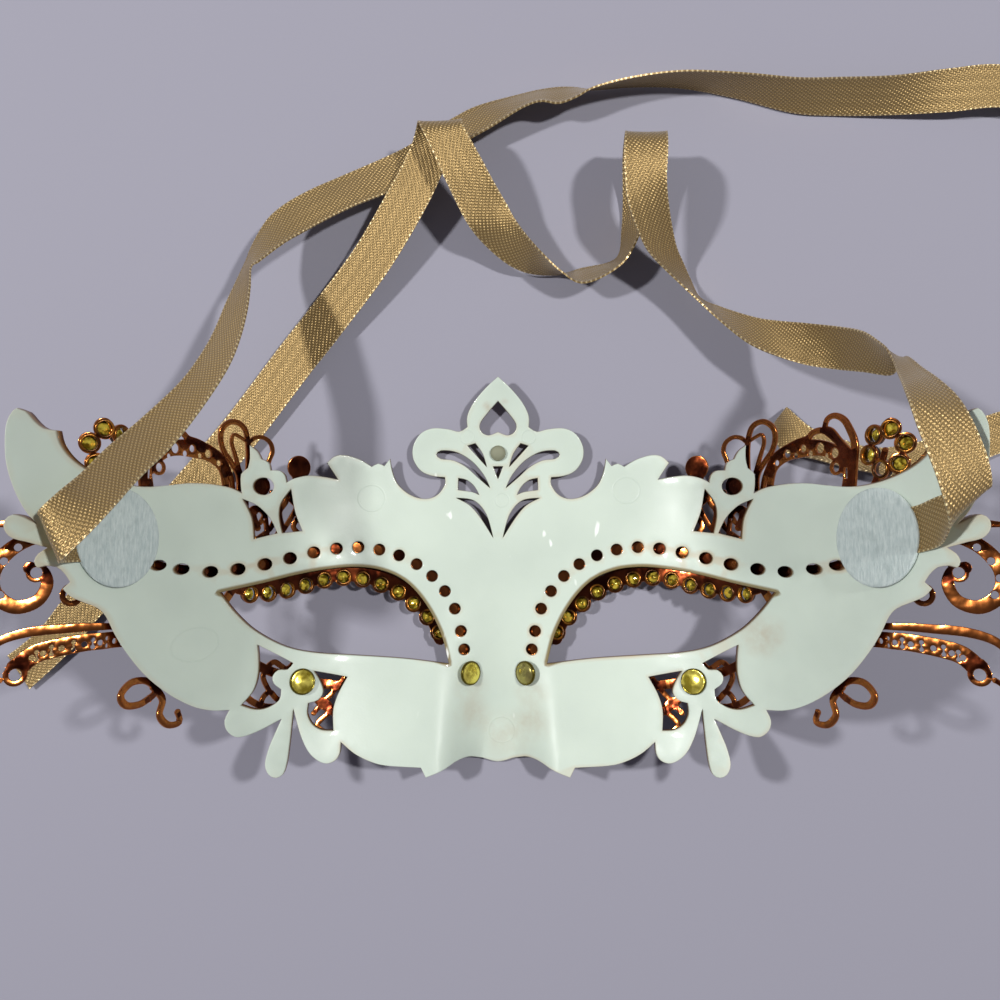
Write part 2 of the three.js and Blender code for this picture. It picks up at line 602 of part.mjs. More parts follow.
const ribbonRightRoute = [
  [83.1, -8.8, 61.5, 82.9, 0.6, 61.5], [82.5, -6.7, 66.2, 85.7, 2.1, 66.2],
  [81.7, -4.6, 69.2, 88, 2.4, 69.2], [78.2, 3.9, 72.2, 87.3, 7.1, 72.2],
  [74.8, 17.4, 68.7, 84.4, 19.1, 66.3], [76.4, 23, 60.3, 83.3, 26, 53.7],
  [78.5, 30.7, 47.9, 84.5, 29, 40.1], [78.8, 32.9, 42.8, 84.3, 26.8, 37.2],
  [77.9, 36.1, 36.2, 80.3, 28.1, 30.8], [75.2, 38.8, 26.9, 76.7, 29.7, 23.1],
  [66.8, 42.7, 11.4, 65.2, 33.8, 15.6], [62.8, 44.1, 7.5, 59.6, 36.9, 13.5],
  [50.2, 50.2, 1.5, 48.6, 47.1, 10.9], [47.5, 54.7, 2.5, 43.5, 51.8, 11.1],
  [43, 61.3, 8.6, 35.1, 59.1, 14.4], [38.8, 74.6, 20.5, 29.2, 74.1, 20.5],
  [39.2, 84.1, 19.5, 29.3, 84.2, 19.5], [40.2, 87.1, 11.5, 30.2, 87.1, 11.5],
  [36.8, 71, 9.4, 31.1, 73.1, 1.4], [29.7, 56.7, 10.2, 29.6, 60.3, 0.8],
  [20.2, 52.2, 9.6, 20.4, 57.5, 1.2], [10, 59.5, 11.4, 8.4, 56.1, 2.2], [4.5, 66, 12.6, -2.7, 61.4, 7.4],
  [1.9, 70.6, 12.4, -6.9, 65.1, 12.4], [-4.2, 80.4, 16.3, -12.6, 75.5, 16.3],
  [-8.1, 87.3, 17.2, -17.9, 86.6, 17.2], [-9, 89.7, 12.8, -19.4, 88.2, 12.8],
  [-13.3, 78.5, 10, -23.3, 79.7, 10], [-26.1, 56.7, 6.2, -35.1, 61.1, 6.2],
  [-39.6, 39.6, 3.6, -47.4, 45.9, 3.6], [-45.7, 32.1, 3, -53.7, 38.1, 3],
  [-57.8, 16.4, 2.4, -65.5, 22.7, 2.4], [-70.9, 0.7, 2, -78.9, 6.7, 2],
  [-90.7, -21.1, 1.7, -99, -15.4, 1.7], [-99.4, -29.7, 1.8, -108.1, -24.9, 1.8],
  [-109.7, -41, 1.6, -118.3, -36, 1.6], [-116.4, -47, 1.3, -121.9, -38.6, 1.3],
];

// A thin strip whose width runs from edge to edge at each place. Its two faces are cut along the
// same diagonals, so that they stay apart where it twists.
function ribbon(route) {
  const edges = route.map(([ax, ay, az, bx, by, bz]) => [
    new THREE.Vector3(ax, ay, az),
    new THREE.Vector3(bx, by, bz),
  ]);
  const middles = edges.map(([one, other]) => new THREE.Vector3().lerpVectors(one, other, 0.5));
  const last = edges.length - 1;
  const points = [];
  const triangles = [];
  edges.forEach(([one, other], i) => {
    const ahead = new THREE.Vector3().subVectors(middles[Math.min(i + 1, last)], middles[Math.max(i - 1, 0)]);
    const up = new THREE.Vector3().subVectors(one, other).cross(ahead).setLength(ribbonThickness / 2);
    points.push(
      new THREE.Vector3().addVectors(other, up), new THREE.Vector3().addVectors(one, up),
      new THREE.Vector3().subVectors(one, up), new THREE.Vector3().subVectors(other, up),
    );
    if (i === last) return;
    const here = 4 * i;
    for (const [k, next, crossed] of [[0, 1, false], [1, 2, false], [2, 3, true], [3, 0, false]]) {
      const [a, b, c, d] = [here + k, here + next, here + 4 + next, here + 4 + k];
      triangles.push(...(crossed ? [a, b, d, b, c, d] : [a, b, c, a, c, d]));
    }
  });
  const end = 4 * last;
  triangles.push(0, 3, 2, 0, 2, 1, end, end + 1, end + 2, end, end + 2, end + 3);
  const body = new THREE.BufferGeometry().setFromPoints(points);
  body.setIndex(triangles);
  return toGeometry(toSolid(body));
}

// Materials

function finish(color, roughness, metalness) {
  return new THREE.MeshStandardMaterial({ color, roughness, metalness });
}

const whitePlastic = finish('#d3dccb', 0.3, 0);
const copperSheet = finish('#b06a3c', 0.2, 1);
const goldRivet = finish('#b9a44c', 0.3, 1);
const paleRivet = finish('#a9aa98', 0.35, 1);
const feltPad = finish('#b9c8c8', 0.8, 0);
const satin = finish('#a68b5b', 0.5, 0);
const goldGlass = finish('#c9a41c', 0.1, 0);

const mask = new THREE.Group();

function addPiece(name, geometry, material) {
  const piece = new THREE.Mesh(geometry, material);
  piece.name = name;
  mask.add(piece);
}

function addPair(name, suffix, geometry, material) {
  addPiece(`${name}_right${suffix}`, geometry, material);
  addPiece(`${name}_left${suffix}`, mirrored(geometry), material);
}

const sheetStack = plasticThickness + gap + metalThickness;

addPiece('mask_base', maskBase(), whitePlastic);
addPair('filigree', '', filigree(), copperSheet);
addPiece('rivet_crown', rivet(crownRivetPlace, plasticThickness, crownRivetHead, crownRivetHead), paleRivet);
addPair('rivet_nose', '', rivet(noseRivetPlace, sheetStack, noseRivetHead, frontRivetHead), goldRivet);
addPair('rivet_cheek', '', rivet(cheekRivetPlace, sheetStack, cheekRivetHead, frontRivetHead), goldRivet);
addPair('pad', '', pad(), feltPad);
browStonePlaces().forEach(([along, y], i) => {
  addPair('brow_stone', `_${String(i + 1).padStart(2, '0')}`, stone(along, y), goldGlass);
});
clusterPlaces().filter((place, i) => i !== cluster.emptyCup).forEach(([along, y], i) => {
  addPair('cluster_stone', `_${i + 1}`, stone(along, y), goldGlass);
});
addPiece('ribbon_left', ribbon(ribbonLeftRoute), satin);
addPiece('ribbon_right', ribbon(ribbonRightRoute), satin);

// The middle of the shell's length comes over the origin
const lengthwise = shellEdge.map(([, y]) => y);
mask.position.y = -(Math.max(...lengthwise) + Math.min(...lengthwise)) / 2;

export default mask;
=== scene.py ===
# A masquerade mask lying face down: the white plastic shell seen from the wearer's side, the copper
# filigree behind it, gold glass stones, rivets, pads and two satin ribbons.
# Lengths are millimetres until they become mesh, heights down the face count from the brow.
import json
import math
import random

import bpy
from mathutils import Matrix, Vector, geometry, kdtree
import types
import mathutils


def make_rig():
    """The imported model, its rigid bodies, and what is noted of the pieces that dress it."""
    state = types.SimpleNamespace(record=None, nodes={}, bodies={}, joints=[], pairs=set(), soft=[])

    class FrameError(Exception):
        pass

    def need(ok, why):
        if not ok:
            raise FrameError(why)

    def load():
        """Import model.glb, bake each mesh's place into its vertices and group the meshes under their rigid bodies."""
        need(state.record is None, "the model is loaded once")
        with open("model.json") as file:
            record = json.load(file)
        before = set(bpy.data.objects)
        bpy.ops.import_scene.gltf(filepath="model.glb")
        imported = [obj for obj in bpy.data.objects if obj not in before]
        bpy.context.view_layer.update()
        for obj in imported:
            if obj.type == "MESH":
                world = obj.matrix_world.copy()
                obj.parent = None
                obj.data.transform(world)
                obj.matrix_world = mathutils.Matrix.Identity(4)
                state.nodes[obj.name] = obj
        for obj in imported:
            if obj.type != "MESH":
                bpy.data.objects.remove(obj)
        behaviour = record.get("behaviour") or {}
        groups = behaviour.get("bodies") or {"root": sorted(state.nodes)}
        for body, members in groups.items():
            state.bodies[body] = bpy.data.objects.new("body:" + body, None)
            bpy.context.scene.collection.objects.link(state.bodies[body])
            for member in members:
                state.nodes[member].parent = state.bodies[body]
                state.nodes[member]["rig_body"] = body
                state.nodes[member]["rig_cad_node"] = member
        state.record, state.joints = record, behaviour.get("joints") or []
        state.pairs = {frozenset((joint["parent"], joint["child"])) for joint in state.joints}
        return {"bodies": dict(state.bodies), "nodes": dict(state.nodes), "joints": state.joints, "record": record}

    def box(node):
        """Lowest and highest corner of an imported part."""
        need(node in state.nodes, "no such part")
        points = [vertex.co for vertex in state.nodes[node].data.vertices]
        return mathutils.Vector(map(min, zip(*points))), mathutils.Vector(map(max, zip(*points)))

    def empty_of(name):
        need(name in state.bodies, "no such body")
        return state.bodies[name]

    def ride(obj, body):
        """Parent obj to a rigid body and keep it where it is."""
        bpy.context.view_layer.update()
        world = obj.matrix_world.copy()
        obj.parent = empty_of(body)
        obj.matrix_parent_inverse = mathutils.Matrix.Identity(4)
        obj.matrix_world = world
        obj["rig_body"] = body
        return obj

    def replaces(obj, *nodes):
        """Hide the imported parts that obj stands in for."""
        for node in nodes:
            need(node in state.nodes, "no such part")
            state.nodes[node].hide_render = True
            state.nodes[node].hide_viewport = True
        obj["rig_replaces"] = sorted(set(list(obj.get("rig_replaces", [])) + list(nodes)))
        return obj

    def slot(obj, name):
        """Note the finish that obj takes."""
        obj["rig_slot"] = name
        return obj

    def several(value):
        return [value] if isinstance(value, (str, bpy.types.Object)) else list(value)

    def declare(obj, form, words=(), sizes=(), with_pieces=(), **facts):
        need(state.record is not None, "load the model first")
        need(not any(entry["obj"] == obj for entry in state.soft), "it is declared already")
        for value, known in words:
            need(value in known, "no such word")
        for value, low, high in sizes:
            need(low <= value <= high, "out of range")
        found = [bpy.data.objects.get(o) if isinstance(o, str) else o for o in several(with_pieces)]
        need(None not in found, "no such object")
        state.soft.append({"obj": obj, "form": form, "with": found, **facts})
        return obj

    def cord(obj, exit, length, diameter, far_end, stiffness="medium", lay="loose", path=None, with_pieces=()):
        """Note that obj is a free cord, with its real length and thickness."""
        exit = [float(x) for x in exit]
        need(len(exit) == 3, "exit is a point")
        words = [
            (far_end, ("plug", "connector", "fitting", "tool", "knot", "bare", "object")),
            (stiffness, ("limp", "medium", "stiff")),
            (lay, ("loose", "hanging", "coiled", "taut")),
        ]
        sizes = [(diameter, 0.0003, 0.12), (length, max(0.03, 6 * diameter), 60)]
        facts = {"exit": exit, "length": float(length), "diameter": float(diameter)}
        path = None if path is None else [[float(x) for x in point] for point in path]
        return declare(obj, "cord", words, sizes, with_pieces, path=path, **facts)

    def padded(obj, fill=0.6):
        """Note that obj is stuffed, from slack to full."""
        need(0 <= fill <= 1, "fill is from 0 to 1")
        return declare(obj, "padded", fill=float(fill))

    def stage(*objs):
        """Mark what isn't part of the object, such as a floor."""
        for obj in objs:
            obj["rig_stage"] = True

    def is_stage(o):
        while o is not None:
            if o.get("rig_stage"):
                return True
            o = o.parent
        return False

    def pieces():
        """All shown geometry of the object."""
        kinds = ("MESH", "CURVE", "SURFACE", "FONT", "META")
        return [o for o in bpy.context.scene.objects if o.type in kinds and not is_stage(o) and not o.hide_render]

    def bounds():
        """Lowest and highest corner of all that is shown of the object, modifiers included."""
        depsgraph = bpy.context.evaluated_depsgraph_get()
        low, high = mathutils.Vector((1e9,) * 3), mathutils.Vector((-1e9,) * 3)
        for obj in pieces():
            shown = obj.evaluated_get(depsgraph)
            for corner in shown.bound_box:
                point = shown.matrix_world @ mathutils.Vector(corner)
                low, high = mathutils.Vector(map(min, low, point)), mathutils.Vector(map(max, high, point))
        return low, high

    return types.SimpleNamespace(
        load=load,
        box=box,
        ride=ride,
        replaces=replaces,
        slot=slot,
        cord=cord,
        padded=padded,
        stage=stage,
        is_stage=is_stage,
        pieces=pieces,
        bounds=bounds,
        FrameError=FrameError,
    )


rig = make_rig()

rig.load()
loadedBox = [list(corner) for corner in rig.bounds()]

mm = 0.001
crownTip = 30.2
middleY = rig.box("mask_base")[1].y / mm - crownTip


def spot(x, y, z):
    return Vector((x, y + middleY, z)) * mm


# Small helpers


def linear(hexColour):
    shares = [int(hexColour[i:i + 2], 16) / 255 for i in (1, 3, 5)]
    return [s / 12.92 if s <= 0.04045 else ((s + 0.055) / 1.055) ** 2.4 for s in shares] + [1.0]


def addObject(name, data):
    piece = bpy.data.objects.new(name, data)
    bpy.context.scene.collection.objects.link(piece)
    return piece


def meshPiece(name, points, faces, material, sharpAngle=38):
    mesh = bpy.data.meshes.new(name)
    mesh.from_pydata(points, [], faces)
    mesh.validate()
    mesh.shade_smooth()
    mesh.set_sharp_from_angle(angle=math.radians(sharpAngle))
    mesh.materials.append(material)
    return addObject(name, mesh)


def setAttribute(piece, name, values):
    piece.data.attributes.new(name, "FLOAT", "POINT").data.foreach_set("value", values)


def rides(piece, slotName, *nodes):
    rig.ride(piece, "root")
    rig.slot(piece, slotName)
    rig.replaces(piece, *nodes)
    return piece


# Camera, straight above the mask

camera = addObject("camera", bpy.data.cameras.new("camera"))
camera.data.sensor_width = 36
camera.data.lens = 36
camera.data.clip_start = 0.01
camera.location = spot(0.49, 0, 250)
bpy.context.scene.camera = camera

# Materials


def newMaterial(name):
    material = bpy.data.materials.new(name)
    material.use_nodes = True
    return material, material.node_tree.nodes["Principled BSDF"]


# Sets inputs by name or number: a plain value stays on the socket, another node's output is linked
def feed(material, made, inputs):
    for key, value in inputs.items():
        if isinstance(value, bpy.types.NodeSocket):
            material.node_tree.links.new(value, made.inputs[key])
        else:
            made.inputs[key].default_value = value


# Adds one node with its settings and links, and hands back the output that is wanted
def node(material, kind, inputs=None, out=0, **settings):
    made = material.node_tree.nodes.new("ShaderNode" + kind)
    for key, value in settings.items():
        setattr(made, key, value)
    feed(material, made, inputs or {})
    return made.outputs[out]


# One colour gives way to another while a value goes from low to high, at most by the share given
def blend(material, value, low, high, before, after, most=1.0):
    before, after = (linear(colour) if isinstance(colour, str) else colour for colour in (before, after))
    share = node(material, "MapRange", {0: value, 1: low, 2: high, 4: most})
    return node(material, "Mix", {0: share, 6: before, 7: after}, 2, data_type="RGBA")


# A mottle on the piece's own coordinates, its patches about sizeMm across
def mottle(material, sizeMm, detail=3, rough=0.5):
    return node(material, "TexNoise", {"Vector": node(material, "TexCoord", out="Object"),
                                       "Scale": 1 / (sizeMm * mm), "Detail": detail, "Roughness": rough})


print("camera and helpers")

# Ribbons: the two edges at places along the way, [x, y, z, x, y, z]

ribbonRoutes = {
    "ribbon_left": [
        [-79.2, -3.4, 52.3, -78.9, -12.4, 52.5], [-81.1, -2.5, 55.6, -80.8, -12, 55.9],
        [-82.9, -1.5, 60.5, -82.1, -11.9, 60.5], [-83.8, -2.2, 67.5, -79.8, -11.3, 67.5],
        [-82.5, -1.1, 68.5, -78.3, -10.2, 68.5], [-80.8, 1.5, 66, -74.4, -5.5, 66],
        [-79.4, 4.9, 59.8, -71.8, -1.1, 62.2], [-76.9, 10.5, 52.6, -69.4, 4.5, 55.4],
        [-73.2, 16.6, 44.8, -65.5, 11.1, 48.2], [-67.4, 25.6, 36.4, -60.7, 20.5, 41.6],
        [-64.7, 32.5, 30.6, -57.2, 29.1, 36.4], [-63.3, 38, 26.3, -56, 35.2, 32.7],
        [-62, 44.7, 22, -55.4, 42, 29], [-60.9, 49.8, 18.5, -55.4, 47.4, 26.5],
        [-59.3, 56.9, 13.8, -56, 53.2, 22.6], [-58.6, 59.8, 12.7, -55.1, 54.6, 20.5],
        [-55.4, 67.2, 10, -50.2, 60.4, 15.2], [-51.9, 71, 8.7, -46.3, 63.6, 12.5],
        [-45.7, 75.4, 6.7, -41.3, 67.2, 10.1], [-38.8, 79.3, 4.4, -34.8, 71, 8.4],
        [-23.5, 86.7, 3, -20.3, 77.7, 5.8], [-16.8, 91, 2.7, -12.9, 82.3, 5.7],
        [-10.7, 95, 1.7, -7.5, 87.2, 7.1], [-5.7, 97.5, 1.8, -1.9, 90.3, 7.6],
        [5.5, 100.8, 1.3, 6.7, 94.9, 9.3], [10.4, 101.9, 1.4, 10.4, 96, 9.4],
        [14.9, 102.4, 1.7, 14.7, 95.6, 9.1], [18.9, 102.6, 1.2, 19.2, 97.1, 9.6],
        [22.9, 102.2, 0.8, 22.3, 98.7, 10.2], [32.4, 103, 0.6, 30.5, 101.1, 10.2],
        [45.1, 102.8, 0.6, 43.6, 102.8, 10.5], [58.6, 100.4, 0.6, 58, 102.4, 10.4],
        [74.1, 96.5, 0.6, 72.8, 101.8, 9], [84.8, 95.9, 0.6, 82.8, 102.4, 7.9],
        [98, 95.6, 1.8, 95.5, 102.7, 8.2], [111.6, 95.6, 3.7, 109.7, 104.8, 7.3],
        [123.7, 96.3, 4.6, 122.3, 106.1, 6.4], [140.7, 92.8, 5, 143.3, 102.4, 5],
        [153.5, 84.5, 3, 160.5, 91.5, 3], [159.7, 71.7, 2.2, 169.3, 74.3, 2.2],
        [160.5, 56.4, 2, 170.5, 55.6, 2], [155.5, 41.6, 1.5, 164.5, 37.4, 1.5],
        [145.8, 30.3, 1.3, 152.2, 22.7, 1.3], [134.9, 24, 1.2, 139.1, 15, 1.2],
        [124, 21.8, 1.2, 126, 12, 1.2], [114, 18, 1.2, 116, 8.3, 2.4],
        [103.7, 14.2, 1.2, 103.9, 5.1, 5.3], [93, 13, 1.3, 85.9, 7.8, 6], [84, 15.6, 1.3, 77.3, 10, 6.2],
        [78.1, 17.8, 1.3, 69.9, 12.3, 3.5], [71.7, 23.1, 1.3, 66.4, 18.2, 8.4],
    ],
    "ribbon_right": [
        [79, -11.1, 52.6, 79.1, -1.6, 52], [81.2, -10.3, 56.4, 81.2, -1.2, 55.6],
        [83.1, -8.8, 61.5, 82.9, 0.6, 61.5], [82.5, -6.7, 66.2, 85.7, 2.1, 66.2],
        [81.7, -4.6, 69.2, 88, 2.4, 69.2], [80.7, -3.1, 71.2, 88.3, 2.5, 71.2],
        [78.2, 3.9, 72.2, 87.3, 7.1, 72.2], [75.5, 13.5, 70, 85.1, 15.1, 70],
        [74.8, 17.4, 68.7, 84.4, 19.1, 66.3], [75.1, 20.5, 65.4, 83.5, 22.9, 60.6],
        [76.4, 23, 60.3, 83.3, 26, 53.7], [77.5, 25.3, 55.7, 83.2, 28.6, 48.3],
        [78.3, 28, 51.5, 84.1, 29.5, 43.5], [78.5, 30.7, 47.9, 84.5, 29, 40.1],
        [78.8, 32.9, 42.8, 84.3, 26.8, 37.2], [77.9, 36.1, 36.2, 80.3, 28.1, 30.8],
        [75.2, 38.8, 26.9, 76.7, 29.7, 23.1], [71.1, 41.1, 17.9, 71.1, 31.2, 19.1],
        [66.8, 42.7, 11.4, 65.2, 33.8, 15.6], [62.8, 44.1, 7.5, 59.6, 36.9, 13.5],
        [54.8, 47.7, 3, 52.5, 43.2, 11.6], [50.2, 50.2, 1.5, 48.6, 47.1, 10.9],
        [47.5, 54.7, 2.5, 43.5, 51.8, 11.1], [45.4, 58.2, 4.5, 39.5, 55.2, 12.1],
        [43, 61.3, 8.6, 35.1, 59.1, 14.4], [39.6, 69.8, 17.4, 30, 68.4, 19.8],
        [38.8, 74.6, 20.5, 29.2, 74.1, 20.5], [39, 80.1, 21, 28.9, 79.9, 21],
        [39.2, 84.1, 19.5, 29.3, 84.2, 19.5], [40.2, 87.1, 11.5, 30.2, 87.1, 11.5],
        [39.9, 83.7, 9.5, 30.4, 84.5, 6.5], [36.8, 71, 9.4, 31.1, 73.1, 1.4],
        [34.6, 65.1, 9.7, 30.9, 67.3, 0.7], [29.7, 56.7, 10.2, 29.6, 60.3, 0.8],
        [20.2, 52.2, 9.6, 20.4, 57.5, 1.2], [15.2, 54.7, 10.7, 15.6, 56.2, 0.9],
        [10, 59.5, 11.4, 8.4, 56.1, 2.2], [7.2, 62.6, 11.8, 3.4, 57.4, 4.2],
        [4.5, 66, 12.6, -2.7, 61.4, 7.4],
        [1.9, 70.6, 12.4, -6.9, 65.1, 12.4], [-1.2, 75.3, 14.6, -10.1, 70.6, 14.6],
        [-4.2, 80.4, 16.3, -12.6, 75.5, 16.3], [-6.5, 84.2, 17.3, -15.6, 81.9, 17.3],
        [-8.1, 87.3, 17.2, -17.9, 86.6, 17.2], [-8.5, 89.3, 15.2, -18.8, 88.9, 15.2],
        [-9, 89.7, 12.8, -19.4, 88.2, 12.8], [-10.6, 85.5, 11, -20.6, 85.1, 11],
        [-13.3, 78.5, 10, -23.3, 79.7, 10], [-16.2, 72.4, 9.3, -25.6, 75.9, 9.3],
        [-26.1, 56.7, 6.2, -35.1, 61.1, 6.2], [-39.6, 39.6, 3.6, -47.4, 45.9, 3.6],
        [-45.7, 32.1, 3, -53.7, 38.1, 3], [-57.8, 16.4, 2.4, -65.5, 22.7, 2.4],
        [-63.4, 9.6, 2.2, -71.4, 15.5, 2.2], [-70.9, 0.7, 2, -78.9, 6.7, 2],
        [-90.7, -21.1, 1.7, -99, -15.4, 1.7], [-99.4, -29.7, 1.8, -108.1, -24.9, 1.8],
        [-103.6, -35, 2, -112.9, -31.2, 2], [-109.7, -41, 1.6, -118.3, -36, 1.6],
        [-116.4, -47, 1.3, -121.9, -38.6, 1.3],
    ],
}


ribbonSize = {
    "width": 10, "stationStep": 0.9,
    # half the section, edge to edge: share of the width, lift and half thickness
    "section": [(-0.5, 0, 0.2), (-0.46, 0.02, 0.24), (-0.42, 0.02, 0.14), (-0.3, 0.07, 0.12),
                (-0.15, 0.12, 0.12), (0, 0.14, 0.12), (0.15, 0.12, 0.12), (0.3, 0.07, 0.12),
                (0.42, 0.02, 0.14), (0.46, 0.02, 0.24), (0.5, 0, 0.2)],
}


# A smooth step between p1 and p2 with its direction; knots lie wider apart where the points do
def alongRoute(p0, p1, p2, p3, t):
    d0, d1, d2 = (math.sqrt(max((b - a).length, 1e-8)) for a, b in ((p0, p1), (p1, p2), (p2, p3)))
    leaving = ((p1 - p0) / d0 - (p2 - p0) / (d0 + d1) + (p2 - p1) / d1) * d1
    coming = ((p2 - p1) / d1 - (p3 - p1) / (d1 + d2) + (p3 - p2) / d2) * d1
    c2 = 3 * (p2 - p1) - 2 * leaving - coming
    c3 = leaving + coming - 2 * (p2 - p1)
    return p1 + leaving * t + c2 * t * t + c3 * t ** 3, leaving + 2 * c2 * t + 3 * c3 * t * t


def ribbonPiece(name, route, material):
    edges = []
    for start in (0, 3):
        places = [Vector(station[start:start + 3]) for station in route]
        edges.append([2 * places[0] - places[1]] + places + [2 * places[-1] - places[-2]])
    rings = []
    for i in range(len(route) - 1):
        longest = max((edge[i + 2] - edge[i + 1]).length for edge in edges)
        count = max(2, round(longest / ribbonSize["stationStep"]))
        for k in range(count + (i == len(route) - 2)):
            (one, oneAhead), (other, otherAhead) = (alongRoute(*edge[i:i + 4], k / count) for edge in edges)
            side = one - other
            rings.append(((one + other) / 2, side, (oneAhead + otherAhead).cross(side).normalized()))
    columns = ribbonSize["section"]
    across = len(columns)
    points, faces, ringMarks, travelled = [], [], [], 0
    for i, (here, side, up) in enumerate(rings):
        travelled += (here - rings[i - 1][0]).length if i else 0
        ringMarks.append(travelled)
        for sign in (1, -1):
            for share, lift, thick in columns:
                points.append(spot(*(here + side * share + up * (lift + sign * thick))))
    ring = 2 * across
    for i in range(len(rings) - 1):
        base, after = i * ring, (i + 1) * ring
        for side in range(2):
            for k in range(across - 1):
                a, b = base + side * across + k, base + side * across + k + 1
                c, d = after + side * across + k + 1, after + side * across + k
                faces.append((a, b, c, d) if side else (d, c, b, a))
        for k, flip in ((0, False), (across - 1, True)):
            a, b = base + k, base + across + k
            c, d = after + across + k, after + k
            faces.append((d, c, b, a) if flip else (a, b, c, d))
    for start, flip in ((0, True), ((len(rings) - 1) * ring, False)):
        for k in range(across - 1):
            face = (start + k, start + k + 1, start + across + k + 1, start + across + k)
            faces.append(face if flip else face[::-1])
    piece = meshPiece(name, points, faces, material, 60)
    # The weave's own coordinates, in millimetres: across the ribbon and along it
    weave = piece.data.uv_layers.new(name="weave")
    for loop in piece.data.loops:
        share = columns[loop.vertex_index % across][0]
        weave.data[loop.index].uv = (share * ribbonSize["width"], ringMarks[loop.vertex_index // ring])
    path = [list(spot(*here)) for here, side, up in rings]
    return piece, path, travelled * mm


# Polyester satin, woven: floats of thread lie in slanting rows under a millimetre apart, and the end of
# each float catches the light
satin, satinShader = newMaterial("gold woven satin")
weaveSize = {"row": 0.78, "float": 0.95, "rib": 0.4, "slant": 0.62, "stitch": 1.2,
             "selvedge": 0.4, "selvedgeFull": 0.35}
weaveAt = node(satin, "UVMap", uv_map="weave")


# A wave between 0 and 1 over a length in millimetres that runs across and along the ribbon
def weaveWave(period, acrossShare, alongShare):
    turns = 2 * math.pi / period
    way = node(satin, "VectorMath", {0: weaveAt, 1: (acrossShare * turns, alongShare * turns, 0)}, "Value",
               operation="DOT_PRODUCT")
    wave = node(satin, "Math", {0: way}, operation="SINE")
    return node(satin, "Math", {0: wave, 1: 0.5, 2: 0.5}, operation="MULTIPLY_ADD")


rows = weaveWave(weaveSize["row"], weaveSize["slant"], 1)
floats = weaveWave(weaveSize["float"], 1, -weaveSize["slant"])
ribs = weaveWave(weaveSize["rib"], 1, 0)
stitches = weaveWave(weaveSize["stitch"], 0, 1)
knots = node(satin, "Math", {0: rows, 1: floats}, operation="MULTIPLY")
thread = node(satin, "Mix", {0: 0.25, 2: knots, 3: ribs})  # a quarter ribs
fromMiddle = node(satin, "Math", {0: node(satin, "SeparateXYZ", {0: weaveAt})}, operation="ABSOLUTE")
satinBody = blend(satin, thread, 0.1, 0.85, "#836b40", "#c2a570")
satinEdge = blend(satin, stitches, 0.55, 0.9, "#957c52", "#dcc796")
feed(satin, satinShader, {
    "Base Color": blend(satin, fromMiddle, ribbonSize["width"] / 2 - weaveSize["selvedge"],
                        ribbonSize["width"] / 2 - weaveSize["selvedgeFull"], satinBody, satinEdge),
    "Metallic": 0.6, "Roughness": 0.4, "Sheen Weight": 0.15, "Anisotropic": 0.4,
    "Normal": node(satin, "Bump", {"Height": thread, "Strength": 0.7, "Distance": 0.22 * mm}),
})

for name, route in ribbonRoutes.items():
    ribbon, path, length = ribbonPiece(f"satin_{name}", route, satin)
    rides(ribbon, "satin_ribbon", name)
    print(name, "length", round(length, 4))
    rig.cord(ribbon, exit=path[0], length=length, diameter=ribbonSize["width"] * mm, far_end="bare",
            stiffness="limp", lay="loose", path=path)
print("ribbons")

# Heights of the shell and of the metal in front of it: a rise across the face plus a bend down it,
# less the nose

shellSize = {
    "thickness": 1.6, "rim": 0.3, "browHeight": 2.55, "topSoftness": 0.3, "bottomSoftness": 0.2,
    "templeStart": 72, "templeRise": 36, "templePower": 3.5,
    "noseTop": -2, "noseRun": 62, "noseDepth": 11.4, "noseHalfWidth": 15, "nosePower": 2.4,
    "crownBend": 0.0055, "crownBendFrom": -2, "chinBend": 0.0025, "chinBendFrom": -25, "tip": 0.08,
}
metalSize = {"thickness": 0.6, "rim": 0.12, "gap": 0.3, "creaseAt": 79, "flareSlope": 0.6, "bead": 0.56}
templeSlope = shellSize["templePower"] * shellSize["templeRise"] / shellSize["templeStart"]


def riseAcross(x):
    reach, start = abs(x), shellSize["templeStart"]
    if reach > start:
        return shellSize["templeRise"] + templeSlope * (reach - start)
    return shellSize["templeRise"] * (reach / start) ** shellSize["templePower"]


# How steeply the shell climbs at x, up to the temples
def slopeAcross(x):
    start = shellSize["templeStart"]
    return templeSlope * (min(abs(x), start) / start) ** (shellSize["templePower"] - 1)


# The upright measure of one millimetre across the sloping shell
def stretch(x):
    return math.hypot(1, slopeAcross(x))


def bendDown(y):
    crown = shellSize["crownBend"] * max(0, y - shellSize["crownBendFrom"]) ** 2
    return crown + shellSize["chinBend"] * max(0, shellSize["chinBendFrom"] - y) ** 2 - shellSize["tip"] * y


def noseDrop(x, y):
    down = min(max((shellSize["noseTop"] - y) / shellSize["noseRun"], 0), 1)
    near = max(0, 1 - (x / shellSize["noseHalfWidth"]) ** 2)
    return shellSize["noseDepth"] * down ** shellSize["nosePower"] * near ** 2


# The larger of two heights with a soft step between them
def softMax(a, b, softness):
    return 0.5 * (a + b + math.hypot(a - b, softness))


def middleHeight(x, y):
    return shellSize["browHeight"] + riseAcross(x) + bendDown(y) - noseDrop(x, y)


# Where the shell comes down to the table it is flattened with a soft step
def shellTop(x, y):
    return softMax(shellSize["thickness"], middleHeight(x, y), shellSize["topSoftness"])


def shellBottom(x, y):
    below = middleHeight(x, y) - shellSize["thickness"] * stretch(x)
    return softMax(0, below, shellSize["bottomSoftness"])


